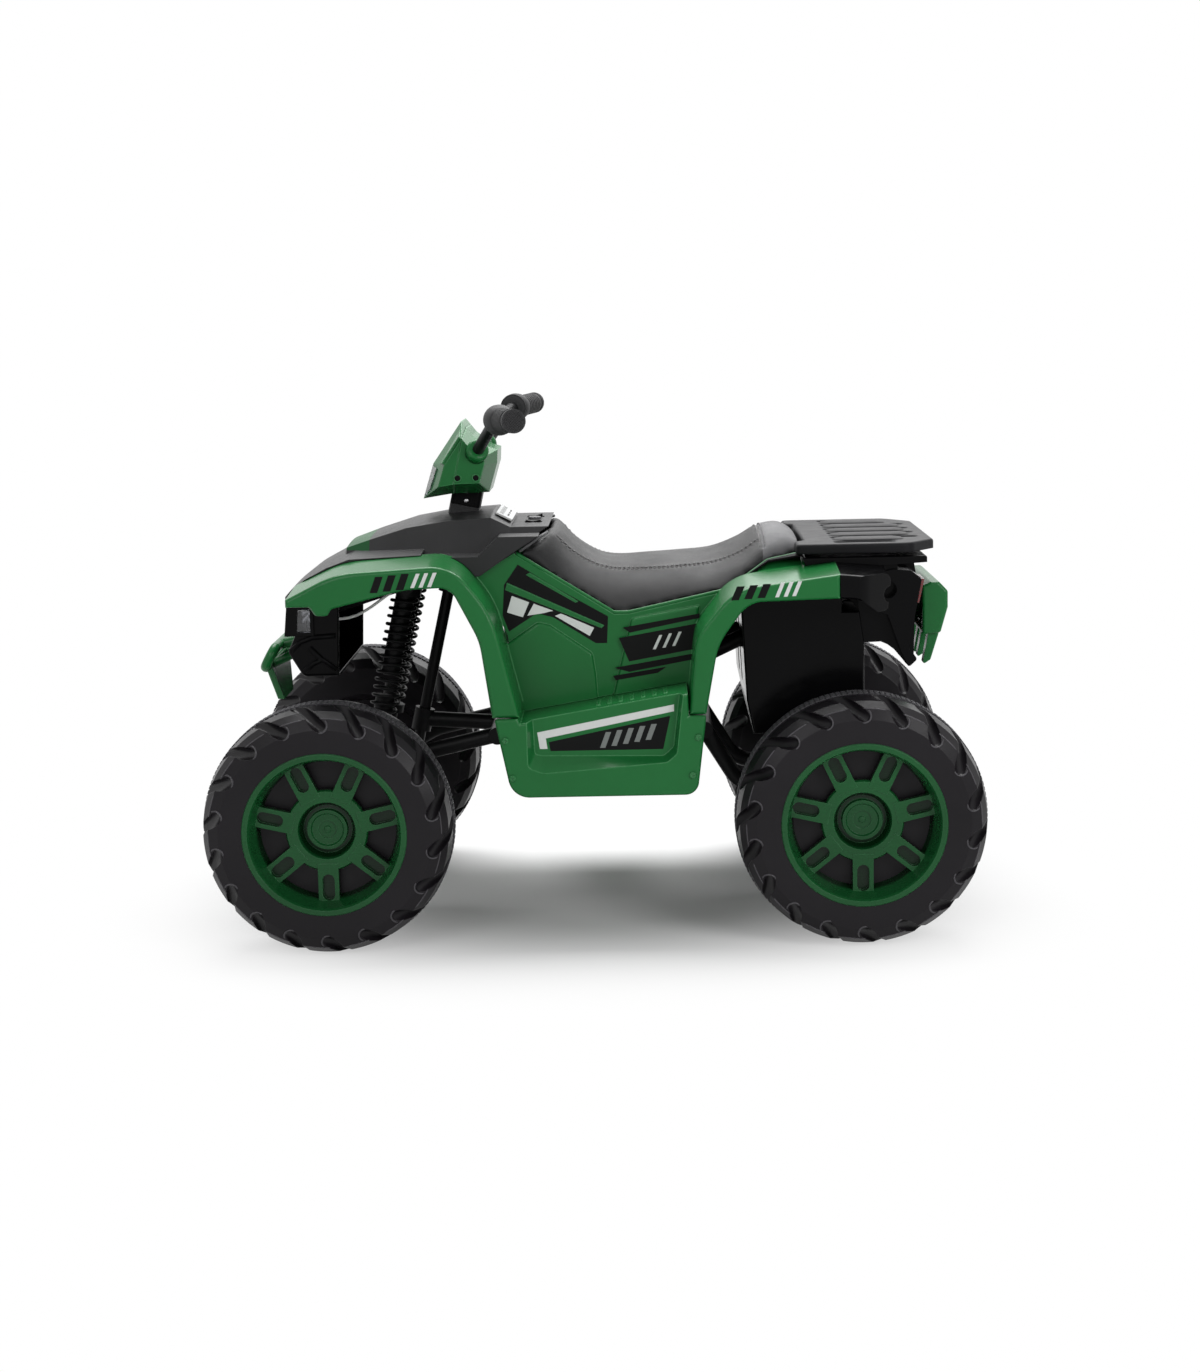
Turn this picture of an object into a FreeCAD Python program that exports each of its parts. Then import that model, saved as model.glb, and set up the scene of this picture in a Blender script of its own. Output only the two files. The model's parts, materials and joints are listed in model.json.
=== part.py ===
import FreeCAD, Part
import math
import os

V = FreeCAD.Vector

# Overall sizes, in millimetres and degrees. The front of the quad is at -X and its left side is at -Y.
WHEELBASE = 698.0
WHEEL_R = 165.0
TRACK = 530.0
TYRE_W = 126.0
FRONT_X = -WHEELBASE / 2
REAR_X = WHEELBASE / 2
HUB_Z = WHEEL_R
WHEEL_Y = TRACK / 2

# Gaps: between fixed pieces, in turning fits and round pieces that swing
SEAT_GAP = 0.4
FIT_GAP = 0.1
SWING_GAP = 0.5

# Wheels
AXLE_R = 6.0
TREAD_R = WHEEL_R - 1.5
TREAD_WALL = 15.0
MOULD_WALL = 4.0
DISH_R = 106.0
DISH_FLOOR_R = 94.0
DISH_DEPTH = 45.0
HUB_R = 20.0
HUB_REACH_IN = 69.0
NUT_SEAT = 7.0
BAND_W = 26.0
BAND_DEPTH = 3.5
BAND_TEETH = 144
BAND_TOOTH = 1.5
BACK_GAP = 5.0
LUG_COUNT = 18
LUG_SCOOP_R = 8.5
LUG_SKEW = 13.0
SPOKE_COUNT = 7
SPOKE_W = 27.0
SPOKE_T = 13.0
SPOKE_WEB = 3.5
SPOKE_SLOT_W = 16.0
COVER_WALL = 3.0

# Body shells
BODY_WALL = 3.5
FENDER_Y = 270.0
WALL_Y = 172.0
FLANGE_W = 22.0
FENDER_RISE = 8.0
EDGE_ROUND = 5.0
RELIEF = 5.0
FOOT_Y = 275.0
FOOT_INNER_Y = 150.0
POCKET_DEPTH = 18.0
HOOD_Y = 182.0
CHEEK_Y = 130.0
FASCIA_Y = 148.0
SEAT_Y = 158.0
SEAT_BASE_T = 3.0
RACK_Y = 185.0
RACK_T = 13.0
RACK_SLOTS = 6
RACK_SLOT_W = 20.0
TAIL_Y = 180.0
INNER_Y = WALL_Y - 2.0 - SEAT_GAP

# Frame tubes
TUBE_R = 11.0
TUBE_WALL = 1.6
RAIL_Y = 45.0
RAIL_Z = HUB_Z + 92.0
PIVOT_X_FRONT = FRONT_X + 214.0
PIVOT_Z_FRONT = HUB_Z + 87.0
PIVOT_X_REAR = REAR_X - 199.0
PIVOT_Z_REAR = HUB_Z + 90.0
PIVOT_R = 6.0
PIVOT_HALF = 58.0
ARM_Y = 95.0
OUTRIGGER_T = 6.0
OUTRIGGER_W = 30.0

# Steering
RAKE = 13.0
STEER_X = FRONT_X + 173.0
STEER_Z = HUB_Z + 401.0
COLUMN_R = 8.0
CRANK = 45.0
CRANK_PIN_R = 5.5
KINGPIN_Y = 165.0
KINGPIN_R = 5.0
SLEEVE_R = 13.5
BEAM_R = 12.2
SLEEVE_H = 44.0
KNUCKLE_T = 5.0
TIE_T = 4.0
TIE_W = 24.0
TIE_PIN_R = 4.0
BAR_R = 8.0
GRIP_R = 15.5
GRIP_L = 112.0

# Springs
SPRING_R = 17.5
SPRING_WIRE_R = 2.25
FRONT_CURLS = 15
REAR_CURLS = 10
SPRING_Y = 62.0
DAMPER_L = 130.0

# Drive and electrics
GEARBOX_R = 50.0
GEARBOX_IN = 139.0
GEARBOX_OUT = 195.5
MOTOR_R = 18.0
MOTOR_L = 46.0
BATTERY_L = 151.0
BATTERY_W = 65.0
BATTERY_H = 94.0
CHARGE_BORE_R = 4.0
CHARGE_BORE_L = 12.0
BUTTON_R = 9.0
ROCKER_L = 22.0
ROCKER_W = 14.0
ROCKER_TILT = 8.0
PEDAL_L = 62.0
PEDAL_W = 56.0
PEDAL_TILT = 14.0
SCREW_R = 4.5

RAKE_SIN = math.sin(math.radians(RAKE))
RAKE_COS = math.cos(math.radians(RAKE))
STEER_UP = V(RAKE_SIN, 0, RAKE_COS)
STEER_BACK = V(RAKE_COS, 0, -RAKE_SIN)


def fx(offset):
    """X of a point given from the front hub."""
    return FRONT_X + offset


def rx(offset):
    """X of a point given from the rear hub."""
    return REAR_X + offset


def hz(offset):
    """Z of a point given from the hub height."""
    return HUB_Z + offset


# Shape helpers
def run_wire(corners, closed):
    """Wire through (point, radius) corners: straight runs joined by tangent arcs."""
    count = len(corners)
    starts = []
    ends = []
    mids = []
    for index in range(count):
        point, radius = corners[index]
        turning = closed or 0 < index < count - 1
        if not turning or radius <= 0:
            starts.append(point)
            ends.append(point)
            mids.append(None)
            continue
        before = (corners[index - 1][0] - point).normalize()
        after = (corners[(index + 1) % count][0] - point).normalize()
        half = before.getAngle(after) / 2
        inward = (before + after).normalize()
        starts.append(point + before * (radius / math.tan(half)))
        ends.append(point + after * (radius / math.tan(half)))
        mids.append(point + inward * (radius / math.sin(half) - radius))
    edges = []
    for index in range(count):
        if mids[index] is not None:
            edges.append(Part.Arc(starts[index], mids[index], ends[index]).toShape())
        following = (index + 1) % count
        if following == 0 and not closed:
            break
        if ends[index].distanceToPoint(starts[following]) > 1e-6:
            edges.append(Part.LineSegment(ends[index], starts[following]).toShape())
    return Part.Wire(edges)


def radius_of(corner):
    return corner[2] if len(corner) > 2 else 0


def side_wire(outline, y):
    return run_wire([(V(corner[0], y, corner[1]), radius_of(corner)) for corner in outline], True)


def side_block(outline, y0, y1):
    """Prism of an outline given as (x, z, corner radius), between two Y planes."""
    return Part.Face(side_wire(outline, y0)).extrude(V(0, y1 - y0, 0))


def plan_block(outline, z0, z1):
    """Prism of an outline given as (x, y, corner radius), between two heights."""
    wire = run_wire([(V(corner[0], corner[1], z0), radius_of(corner)) for corner in outline], True)
    return Part.Face(wire).extrude(V(0, 0, z1 - z0))


def front_block(outline, x0, x1):
    """Prism of an outline given as (y, z, corner radius), between two X planes."""
    wire = run_wire([(V(x0, corner[0], corner[1]), radius_of(corner)) for corner in outline], True)
    return Part.Face(wire).extrude(V(x1 - x0, 0, 0))


def box(x0, x1, y0, y1, z0, z1):
    return Part.makeBox(x1 - x0, y1 - y0, z1 - z0, V(x0, y0, z0))


def rod(start, end, radius):
    return Part.makeCylinder(radius, (end - start).Length, start, end - start)


def capsule(start, end, radius):
    """Rod with round ends, turned as one piece."""
    length = (end - start).Length
    side = V(radius, 0, 0)
    low = V(0, 0, -radius)
    high = V(0, 0, length + radius)
    slant = math.sqrt(0.5) * radius
    profile = Part.Wire([Part.Arc(low, V(slant, 0, -slant), side).toShape(),
                         Part.LineSegment(side, side + V(0, 0, length)).toShape(),
                         Part.Arc(side + V(0, 0, length), V(slant, 0, length + slant), high).toShape(),
                         Part.LineSegment(high, low).toShape()])
    solid = Part.Face(profile).revolve(V(0, 0, 0), V(0, 0, 1), 360)
    solid.Placement = FreeCAD.Placement(start, FreeCAD.Rotation(V(0, 0, 1), end - start))
    return solid


def cross_rod(x, z, y0, y1, radius):
    return rod(V(x, y0, z), V(x, y1, z), radius)


def bent_rod(corners, radius):
    """Round bar along a path given as (point, bend radius)."""
    path = run_wire(corners, False)
    start = corners[0][0]
    circle = Part.Wire(Part.makeCircle(radius, start, corners[1][0] - start))
    return path.makePipeShell([circle], True, False)


def join(shapes):
    if len(shapes) == 1:
        return shapes[0]
    return shapes[0].multiFuse(shapes[1:])


def mirrored(shape):
    return shape.mirror(V(0, 0, 0), V(0, 1, 0))


def both_sides(shape):
    return [shape, mirrored(shape)]


def moved(shape, x, y, z):
    copy = shape.copy()
    copy.translate(V(x, y, z))
    return copy


def soften(shape, radius, wanted):
    """Round every edge that the test picks."""
    edges = [edge for edge in shape.Edges if wanted(edge)]
    return shape.makeFillet(radius, edges)


def on_plane(edge, axis, value):
    return all(abs(vertex.Point[axis] - value) < 0.01 for vertex in edge.Vertexes)


def spin(profile):
    """Turned solid about the Y axis from (radius, y) points."""
    wire = Part.makePolygon([V(radius, y, 0) for radius, y in profile + profile[:1]])
    return Part.Face(wire).revolve(V(0, 0, 0), V(0, 1, 0), 360)


def along_column(height, back=0.0, y=0.0):
    """Point by its distance along the steering axis from the reference point, and back from it."""
    return V(STEER_X, y, STEER_Z) + STEER_UP * height + STEER_BACK * back


def along_kingpin(height, back=0.0, y=0.0):
    return V(FRONT_X, y, HUB_Z) + STEER_UP * height + STEER_BACK * back


# Wheels, drawn about the origin with the outer side at -Y, then set at each hub
def tyre_shape():
    """Hollow moulded wheel: one wall round the dish, sidewalls, tread and back, open in a ring behind the hub."""
    half = TYRE_W / 2
    wall = MOULD_WALL
    inside_r = WHEEL_R - TREAD_WALL
    back = 45
    floor = DISH_DEPTH - half
    ring_r = HUB_R + BACK_GAP
    inner = [(AXLE_R + FIT_GAP, HUB_REACH_IN), (HUB_R, HUB_REACH_IN), (HUB_R, wall - NUT_SEAT),
             (30 + wall, wall - NUT_SEAT), (30 + wall, floor + wall), (DISH_FLOOR_R + wall, floor + wall),
             (DISH_R + wall, wall - half), (126, wall - half), (141, -40), (inside_r, -23), (inside_r, 23),
             (141, 40), (126, half - wall), (102, half - wall), (88 - wall, back - wall), (ring_r, back - wall)]
    outer = [(ring_r, back), (88, back), (100, half), (138, half), (152, half - 7), (160, half - 19),
             (TREAD_R, 22), (TREAD_R, BAND_W / 2), (TREAD_R - BAND_DEPTH, BAND_W / 2),
             (TREAD_R - BAND_DEPTH, -BAND_W / 2), (TREAD_R, -BAND_W / 2), (TREAD_R, -22), (160, 19 - half),
             (152, 7 - half), (138, -half), (DISH_R, -half), (DISH_FLOOR_R, floor), (30, floor), (30, -NUT_SEAT),
             (AXLE_R + FIT_GAP, -NUT_SEAT)]
    scoops = []
    for side in (-1, 1):
        for index in range(LUG_COUNT):
            turn = 360.0 / LUG_COUNT * (index + (0.5 if side > 0 else 0))
            scoops.append(scoop_shape(side, turn))
    return spin(inner + outer).cut(scoops)


def scoop_shape(side, turn):
    """Round-ended groove between two lugs, from the sidewall over the shoulder to the tread."""
    half = TYRE_W / 2
    near = polar(143, side * (half + 1), turn)
    far = polar(WHEEL_R + 3.5, side * 20, turn + LUG_SKEW)
    return capsule(near, far, LUG_SCOOP_R)


def polar(radius, y, turn):
    angle = math.radians(turn)
    return V(radius * math.sin(angle), y, -radius * math.cos(angle))


def band_shape():
    """Rubber traction ring with fine cross teeth, in the groove of the tread."""
    points = []
    for index in range(BAND_TEETH):
        for share, radius in ((-0.3, WHEEL_R), (0.3, WHEEL_R), (0.38, WHEEL_R - BAND_TOOTH)):
            points.append(polar(radius, -BAND_W / 2 + SEAT_GAP, 360.0 / BAND_TEETH * (index + share)))
    points.append(points[0])
    ring = Part.Face(Part.makePolygon(points)).extrude(V(0, BAND_W - 2 * SEAT_GAP, 0))
    return ring.cut(cross_rod(0, 0, -BAND_W, BAND_W, TREAD_R - BAND_DEPTH + SEAT_GAP))


def cover_shape():
    """Seven-spoke wheel cover with its lip, tapered barrel and hub cap."""
    half = TYRE_W / 2
    floor = -(half - DISH_DEPTH) - SEAT_GAP
    lip = [(DISH_FLOOR_R - 2, floor), (DISH_R - 1, -half + 2), (DISH_R - 1, -half - SEAT_GAP),
           (DISH_R + 1.5, -half - SEAT_GAP), (DISH_R, -half - 2), (DISH_R - 6, -half - 2), (DISH_R - 8, -half + 2),
           (DISH_FLOOR_R - 2 - COVER_WALL, floor)]
    hub = [(0, floor - 2), (0, floor - 9), (4, floor - 8), (5, floor - 6), (12, floor - 6), (12, floor - 8),
           (20, floor - 8), (22, floor - 11), (26, floor - 11), (27, floor - 4), (32, floor - 3),
           (38, floor - 18), (52, floor - 18), (54, floor - 15), (54, floor - 6), (40, floor - 6),
           (34, floor), (27, floor), (27, floor - 1.5)]
    back = floor - 6
    spokes = []
    slots = []
    for index in range(SPOKE_COUNT):
        turn = 360.0 / SPOKE_COUNT * (index + 0.5)
        wide = SPOKE_W / 2
        bar = side_block([(-wide, 44), (-wide, 97), (wide, 97), (wide, 44)], back, back - SPOKE_T)
        slot_r = SPOKE_SLOT_W / 2
        end_r = slot_r * 0.98
        groove = side_block([(-slot_r, 58, end_r), (-slot_r, 93, end_r), (slot_r, 93, end_r), (slot_r, 58, end_r)],
                            back - SPOKE_WEB, back - SPOKE_T - 1)
        for piece in (bar, groove):
            piece.rotate(V(0, 0, 0), V(0, 1, 0), turn)
        spokes.append(bar)
        slots.append(groove)
    inside = spin([(0, floor), (DISH_FLOOR_R - 3, floor), (DISH_R - 3.5, -half + 2), (DISH_R - 3.5, -half - 1),
                   (0, -half - 1)])
    spokes = [bar.common(inside) for bar in spokes]
    return join([spin(lip), spin(hub)] + spokes).cut(slots)


def wheel_set():
    """The tyre, band and cover at each of the four hubs."""
    shapes = {"tyre": tyre_shape(), "traction_band": band_shape(), "wheel_cover": cover_shape()}
    nodes = {}
    for place, x in (("front", FRONT_X), ("rear", REAR_X)):
        for name, shape in shapes.items():
            left = moved(shape, x, -WHEEL_Y, HUB_Z)
            nodes[place + "_left_" + name] = left
            nodes[place + "_right_" + name] = mirrored(left)
    return nodes


# Outlines of the body, as (x, z, corner radius)
FRONT_BAND = [(fx(-47), hz(299)), (fx(19), hz(332), 130), (fx(171), hz(340), 60), (fx(221), hz(275), 140),
              (fx(254), hz(138.5)), (fx(218), hz(138.5)), (fx(204), hz(240), 90), (fx(168), hz(311), 26),
              (fx(109), hz(309), 160), (fx(13), hz(286), 6), (fx(7), hz(277), 4), (fx(-8), hz(277), 6),
              (fx(-16), hz(289), 6), (fx(-47), hz(289))]
REAR_BAND = [(rx(-222), hz(138.5)), (rx(-212), hz(240), 60), (rx(-161), hz(301), 70), (rx(-24), hz(318.5)),
             (rx(-24), hz(286.5)), (rx(-143), hz(284), 40), (rx(-183), hz(230), 90), (rx(-200), hz(138.5))]
SEAT_LINE = [(fx(247), hz(345)), (fx(379), hz(261)), (rx(-299), hz(261)), (rx(-165), hz(289))]
SEAT_REAR = [(rx(-165), hz(289)), (rx(-111), hz(324)), (rx(-66), hz(331))]
LEDGE_FRONT = (fx(255), hz(132))
LEDGE_REAR = (rx(-224), hz(167.5))
WALL = [(fx(249), hz(130)), (fx(236), hz(235)), (fx(204), hz(302)), (fx(186), hz(316)), (fx(199), hz(316)),
        SEAT_LINE[0], SEAT_LINE[1], SEAT_LINE[2], SEAT_LINE[3], (rx(-185), hz(253)), (rx(-203), hz(215)),
        (rx(-212), hz(139))]
FOOT = [(fx(221), hz(138), 3), (fx(252), hz(138), 2), LEDGE_FRONT, LEDGE_REAR, (rx(-223), hz(138)),
        (rx(-200), hz(138), 3), (rx(-213), hz(33), 18), (fx(242), hz(33), 28)]
HOOD_PLANE_FRONT = (fx(248), hz(347.5))
HOOD_PLANE_REAR = (fx(298), hz(379))


def band_solid(outline, raise_front):
    """Full fender block from the outer face to the body wall, rising towards the wall."""
    outer = side_wire(outline, -FENDER_Y)
    inner = side_wire(outline, -WALL_Y + 2)
    inner.translate(V(0, 0, raise_front))
    block = Part.makeLoft([outer, inner], True, True)
    return soften(block, EDGE_ROUND, lambda edge: on_plane(edge, 1, -FENDER_Y))


def band_hollow(outline, raise_front):
    core = side_wire(outline, -FENDER_Y + BODY_WALL).makeOffset2D(-BODY_WALL)
    far = core.copy()
    far.translate(V(0, FENDER_Y - WALL_Y, raise_front))
    return Part.makeLoft([core, far], True, True)


def foot_solid():
    block = side_block(FOOT, -FOOT_Y, -FOOT_INNER_Y)
    block = soften(block, EDGE_ROUND - 1, lambda edge: on_plane(edge, 1, -FOOT_Y))
    return block


def foot_pocket(grow):
    """Recess in the outer face, open at the top along the ledge."""
    top = hz(200)
    outer = [(fx(263) - grow, top), (fx(263) - grow, hz(72) - grow, 9), (fx(284), hz(64) - grow, 30),
             (rx(-252), hz(77) - grow, 12), (rx(-239) + grow, hz(88) - grow, 8), (rx(-226) + grow, top)]
    inner = [(fx(268) - grow, top), (fx(272) - grow, hz(88) - grow, 5), (fx(282), hz(86) - grow, 20),
             (rx(-256), hz(83) - grow, 10), (rx(-243) + grow, hz(95) - grow, 8), (rx(-230) + grow, top)]
    wires = [side_wire(outer, -FOOT_Y - 1), side_wire(inner, -FOOT_Y + POCKET_DEPTH + grow)]
    return Part.makeLoft(wires, True, True)


def ledge_height(x):
    share = (x - LEDGE_FRONT[0]) / (LEDGE_REAR[0] - LEDGE_FRONT[0])
    return LEDGE_FRONT[1] + share * (LEDGE_REAR[1] - LEDGE_FRONT[1])


def footboard():
    inner = side_wire(FOOT, -FOOT_Y + BODY_WALL).makeOffset2D(-BODY_WALL)
    hollow = Part.Face(inner).extrude(V(0, FOOT_Y, 0))
    hollow = hollow.cut(foot_pocket(BODY_WALL))
    return foot_solid().cut(foot_pocket(0)).cut(hollow)


def side_panel():
    """Left panel: both fender arches, the body wall with its raised fields and the seat flange."""
    wall = side_block(WALL, -WALL_Y, -WALL_Y + BODY_WALL)
    flange = side_block([SEAT_LINE[0], SEAT_LINE[1], SEAT_LINE[2], SEAT_LINE[3],
                         lowered(SEAT_LINE[3]), lowered(SEAT_LINE[2]), lowered(SEAT_LINE[1]),
                         lowered(SEAT_LINE[0])], -WALL_Y, -WALL_Y + FLANGE_W)
    front_field = [(fx(236), hz(118)), (fx(232), hz(222)), (fx(277), hz(252), 7), (fx(293), hz(248), 7),
                   (fx(349), hz(209), 9), (fx(353), hz(182), 7), (fx(356), hz(130))]
    rear_field = [(fx(371), hz(130)), (fx(402), hz(255), 7), (rx(-205), hz(271)), (rx(-217), hz(130))]
    fields = []
    for field in (front_field, rear_field):
        plate = side_block(field, -WALL_Y - RELIEF, -WALL_Y + 1)
        fields.append(soften(plate, RELIEF - 1, lambda edge: on_plane(edge, 1, -WALL_Y - RELIEF)))
    bands = [band_solid(FRONT_BAND, FENDER_RISE), band_solid(REAR_BAND, FENDER_RISE)]
    hollows = [band_hollow(FRONT_BAND, FENDER_RISE), band_hollow(REAR_BAND, FENDER_RISE)]
    shells = [bands[0].cut(hollows[0]), bands[1].cut(hollows[1])]
    panel = join(shells + [wall, flange] + fields)
    lift = moved(side_block(FOOT, -FOOT_Y - 5, -FOOT_INNER_Y + 5), 0, 0, SEAT_GAP)
    return panel.cut(lift)


def lowered(corner):
    return (corner[0], corner[1] - BODY_WALL)


def panel_envelope():
    """Space of the left panel that the hood keeps clear of."""
    solids = [band_solid(FRONT_BAND, FENDER_RISE), side_block(WALL, -WALL_Y - RELIEF, -WALL_Y + FLANGE_W)]
    return [moved(solid, 0, 0, SEAT_GAP) for solid in solids]


# Hood: bonnet, dash step, cheeks and the nose skirt in one shell
BONNET = [(fx(6), 66, hz(332), hz(334), 104), (fx(14), 88, hz(349), hz(353), 122),
          (fx(49), 100, hz(361), hz(365), 142), (fx(99), 106, hz(376), hz(380), 154),
          (fx(149), 110, hz(384), hz(388), 160), (fx(214), 112, hz(388), hz(392), 163)]
DASH_TOP = hz(375)
DASH_FRONT = fx(240)
DASH_REAR = fx(297)
NOSE = [(fx(-64), 150, hz(281), hz(290)), (fx(-54), 158, hz(290), hz(300)), (fx(-34), 172, hz(311.5), hz(315)),
        (fx(-3), 180, hz(327.5), hz(331)), (fx(27), HOOD_Y, hz(338.5), hz(342)),
        (fx(124), HOOD_Y, hz(342.5), hz(346))]


def bonnet_wire(x, top_half, shoulder, crown, low_half, low):
    left_low = V(x, -low_half, low)
    left_top = V(x, -top_half, shoulder)
    right_top = V(x, top_half, shoulder)
    right_low = V(x, low_half, low)
    return Part.Wire([Part.LineSegment(left_low, left_top).toShape(),
                      Part.Arc(left_top, V(x, 0, crown), right_top).toShape(),
                      Part.LineSegment(right_top, right_low).toShape(),
                      Part.LineSegment(right_low, left_low).toShape()])


def bonnet_block(inset, low):
    """Bonnet and dash without their hollow, or the hollow when inset is the wall."""
    wires = []
    for x, top_half, shoulder, crown, low_half in BONNET:
        wires.append(bonnet_wire(x + inset, top_half - inset, shoulder - inset, crown - inset,
                                 low_half - inset, low))
    x, top_half, shoulder, crown, low_half = BONNET[-1]
    step = DASH_TOP - inset
    for place in (DASH_FRONT + inset, DASH_REAR - inset):
        wires.append(bonnet_wire(place, top_half - inset, step, step + 0.4, low_half - inset, low))
    return Part.makeLoft(wires, True, True)


def nose_plate():
    """Skirt in front of the bonnet that runs down to the nose."""
    wires = []
    for x, half, low, top in NOSE:
        crown = 5
        left = V(x, -half, top)
        right = V(x, half, top)
        left_low = V(x, -half, low)
        right_low = V(x, half, low)
        wires.append(Part.Wire([Part.Arc(left, V(x, 0, top + crown), right).toShape(),
                                Part.LineSegment(right, right_low).toShape(),
                                Part.Arc(right_low, V(x, 0, low + crown), left_low).toShape(),
                                Part.LineSegment(left_low, left).toShape()]))
    return Part.makeLoft(wires, True, True)


def cheek(inset):
    outline = [(fx(120), hz(342)), (fx(199), hz(342)), (fx(227), hz(368)), (fx(280.5), hz(368)),
               HOOD_PLANE_FRONT, (fx(201), hz(316)), (fx(180), hz(316)), (fx(150), hz(338)), (fx(120), hz(338))]
    return moved(side_block(outline, -HOOD_Y + inset, -CHEEK_Y), 0, 0, -inset)


def hood():
    low = hz(300)
    outer = join([bonnet_block(0, low), nose_plate()] + both_sides(cheek(0)))
    outer = outer.cut(bonnet_block(BODY_WALL, low - 40))
    for inner in both_sides(cheek(BODY_WALL)):
        outer = outer.cut(inner)
    below = side_block([(fx(-80), hz(240)), (fx(-80), hz(270)), (fx(-64), hz(276)), (fx(-34), hz(311)),
                        (fx(-3), hz(327)), (fx(27), hz(338)), (fx(120), hz(340)), (fx(150), hz(340)),
                        (fx(180), hz(316)), (fx(201), hz(316)), HOOD_PLANE_FRONT, HOOD_PLANE_REAR,
                        (fx(340), hz(405)), (fx(340), hz(240))], -WALL_Y - 40, WALL_Y + 40)
    outer = outer.cut(below)
    for solid in panel_envelope():
        outer = outer.cut(both_sides(solid))
    outer = outer.fuse(column_plate(along_column, SLEEVE, SLEEVE_LOW - 22, SLEEVE_LOW - SWING_GAP))
    holes = [rod(along_column(-60), along_column(60), COLUMN_R + 6)]
    holes.append(cross_hole(BUTTON_X, 0, BUTTON_R + 0.2))
    for y in (-ROCKER_Y, ROCKER_Y):
        holes.append(rocker_hole(y))
    return outer.cut(holes)


BUTTON_X = (DASH_FRONT + DASH_REAR) / 2
ROCKER_Y = 42.0
ROCKER_DEPTH = 5.0


def cross_hole(x, y, radius):
    return Part.makeCylinder(radius, 30, V(x, y, DASH_TOP - 20))


def rocker_hole(y):
    half_l = ROCKER_L / 2 + 1.2
    half_w = ROCKER_W / 2 + 0.3
    return box(BUTTON_X - half_l, BUTTON_X + half_l, y - half_w, y + half_w, DASH_TOP - 12, DASH_TOP + 10)


def start_button():
    cap = Part.makeCylinder(BUTTON_R, 12, V(BUTTON_X, 0, DASH_TOP - 8))
    cap = soften(cap, 1.2, lambda edge: on_plane(edge, 2, DASH_TOP + 4))
    collar = Part.makeCylinder(BUTTON_R + 2, 3, V(BUTTON_X, 0, DASH_TOP - 8))
    return cap.fuse(collar)


def rocker(y, tilt):
    """Rocker cap with a dipped top on its cross pin."""
    z = DASH_TOP - ROCKER_DEPTH
    half_l = ROCKER_L / 2
    outline = [(BUTTON_X - half_l, z + 8.5, 1), (BUTTON_X, z + 6.5), (BUTTON_X + half_l, z + 8.5, 1),
               (BUTTON_X + half_l - 3, z - 6, 2), (BUTTON_X - half_l + 3, z - 6, 2)]
    cap = side_block(outline, y - ROCKER_W / 2, y + ROCKER_W / 2)
    pin = cross_rod(BUTTON_X, z, y - ROCKER_W / 2 - 2.5, y + ROCKER_W / 2 + 2.5, 1.5)
    cap = cap.fuse(pin)
    cap.rotate(V(BUTTON_X, y, z), V(0, 1, 0), tilt)
    return cap


def switch_housings():
    """Cups under the dash that hold the button and the two rockers."""
    top = DASH_TOP - BODY_WALL - SEAT_GAP
    cup = Part.makeCylinder(BUTTON_R + 5, 20, V(BUTTON_X, 0, top - 20))
    cup = cup.cut(Part.makeCylinder(BUTTON_R + 2.4, 18, V(BUTTON_X, 0, top - 17)))
    cups = [cup]
    for y in (-ROCKER_Y, ROCKER_Y):
        half_l = ROCKER_L / 2 + 4
        half_w = ROCKER_W / 2 + 3.2
        block = box(BUTTON_X - half_l, BUTTON_X + half_l, y - half_w, y + half_w, top - 18, top)
        block = block.cut(box(BUTTON_X - half_l + 2.5, BUTTON_X + half_l - 2.5, y - ROCKER_W / 2 - 0.3,
                              y + ROCKER_W / 2 + 0.3, top - 15, top + 1))
        z = DASH_TOP - ROCKER_DEPTH
        groove = cross_rod(BUTTON_X, z, y - half_w - 1, y + half_w + 1, 1.5 + FIT_GAP)
        cups.append(block.cut(groove))
    return Part.makeCompound(cups)


def dash_panel():
    """Pale instrument plate on the slanted face behind the column."""
    start = V(BONNET[-1][0], 0, BONNET[-1][2])
    end = V(DASH_FRONT, 0, DASH_TOP)
    slope = (end - start).normalize()
    normal = V(-slope.z, 0, slope.x)
    low = start + slope * 3 + normal * 3.45
    high = end - slope * 2 + normal * 3.45
    corners = [(low.x, low.z), (high.x, high.z), ((high + normal * 2.5).x, (high + normal * 2.5).z),
               ((low + normal * 2.5).x, (low + normal * 2.5).z)]
    plate = side_block(corners, -70, 70)
    return plate


# Seat
SEAT_SECTIONS = [(fx(264), hz(334), hz(345), hz(346), 158, 122), (fx(280), hz(325), hz(357), hz(358), 160, 108),
                 (fx(294), hz(316), hz(364), hz(368), 162, 98), (fx(323), hz(298), hz(340), hz(345), 164, 94),
                 (fx(356), hz(278), hz(323), hz(328), 164, 96),
                 (fx(384), hz(262), hz(317), hz(323), 164, 100), (rx(-274), hz(267), hz(317), hz(324), 164, 105),
                 (rx(-229), hz(277), hz(319), hz(326), 164, 106), (rx(-181), hz(287), hz(324), hz(331), 162, 104),
                 (rx(-144), hz(303), hz(337), hz(345), 152, 101), (rx(-118), hz(320), hz(354), hz(361), 140, 98),
                 (rx(-87), hz(328), hz(360), hz(366), 130, 92), (rx(-66), hz(333), hz(350), hz(353), 118, 84)]
SEAT_BULGE = 5.0
SWITCH_BAY_Y = 66.0


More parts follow.
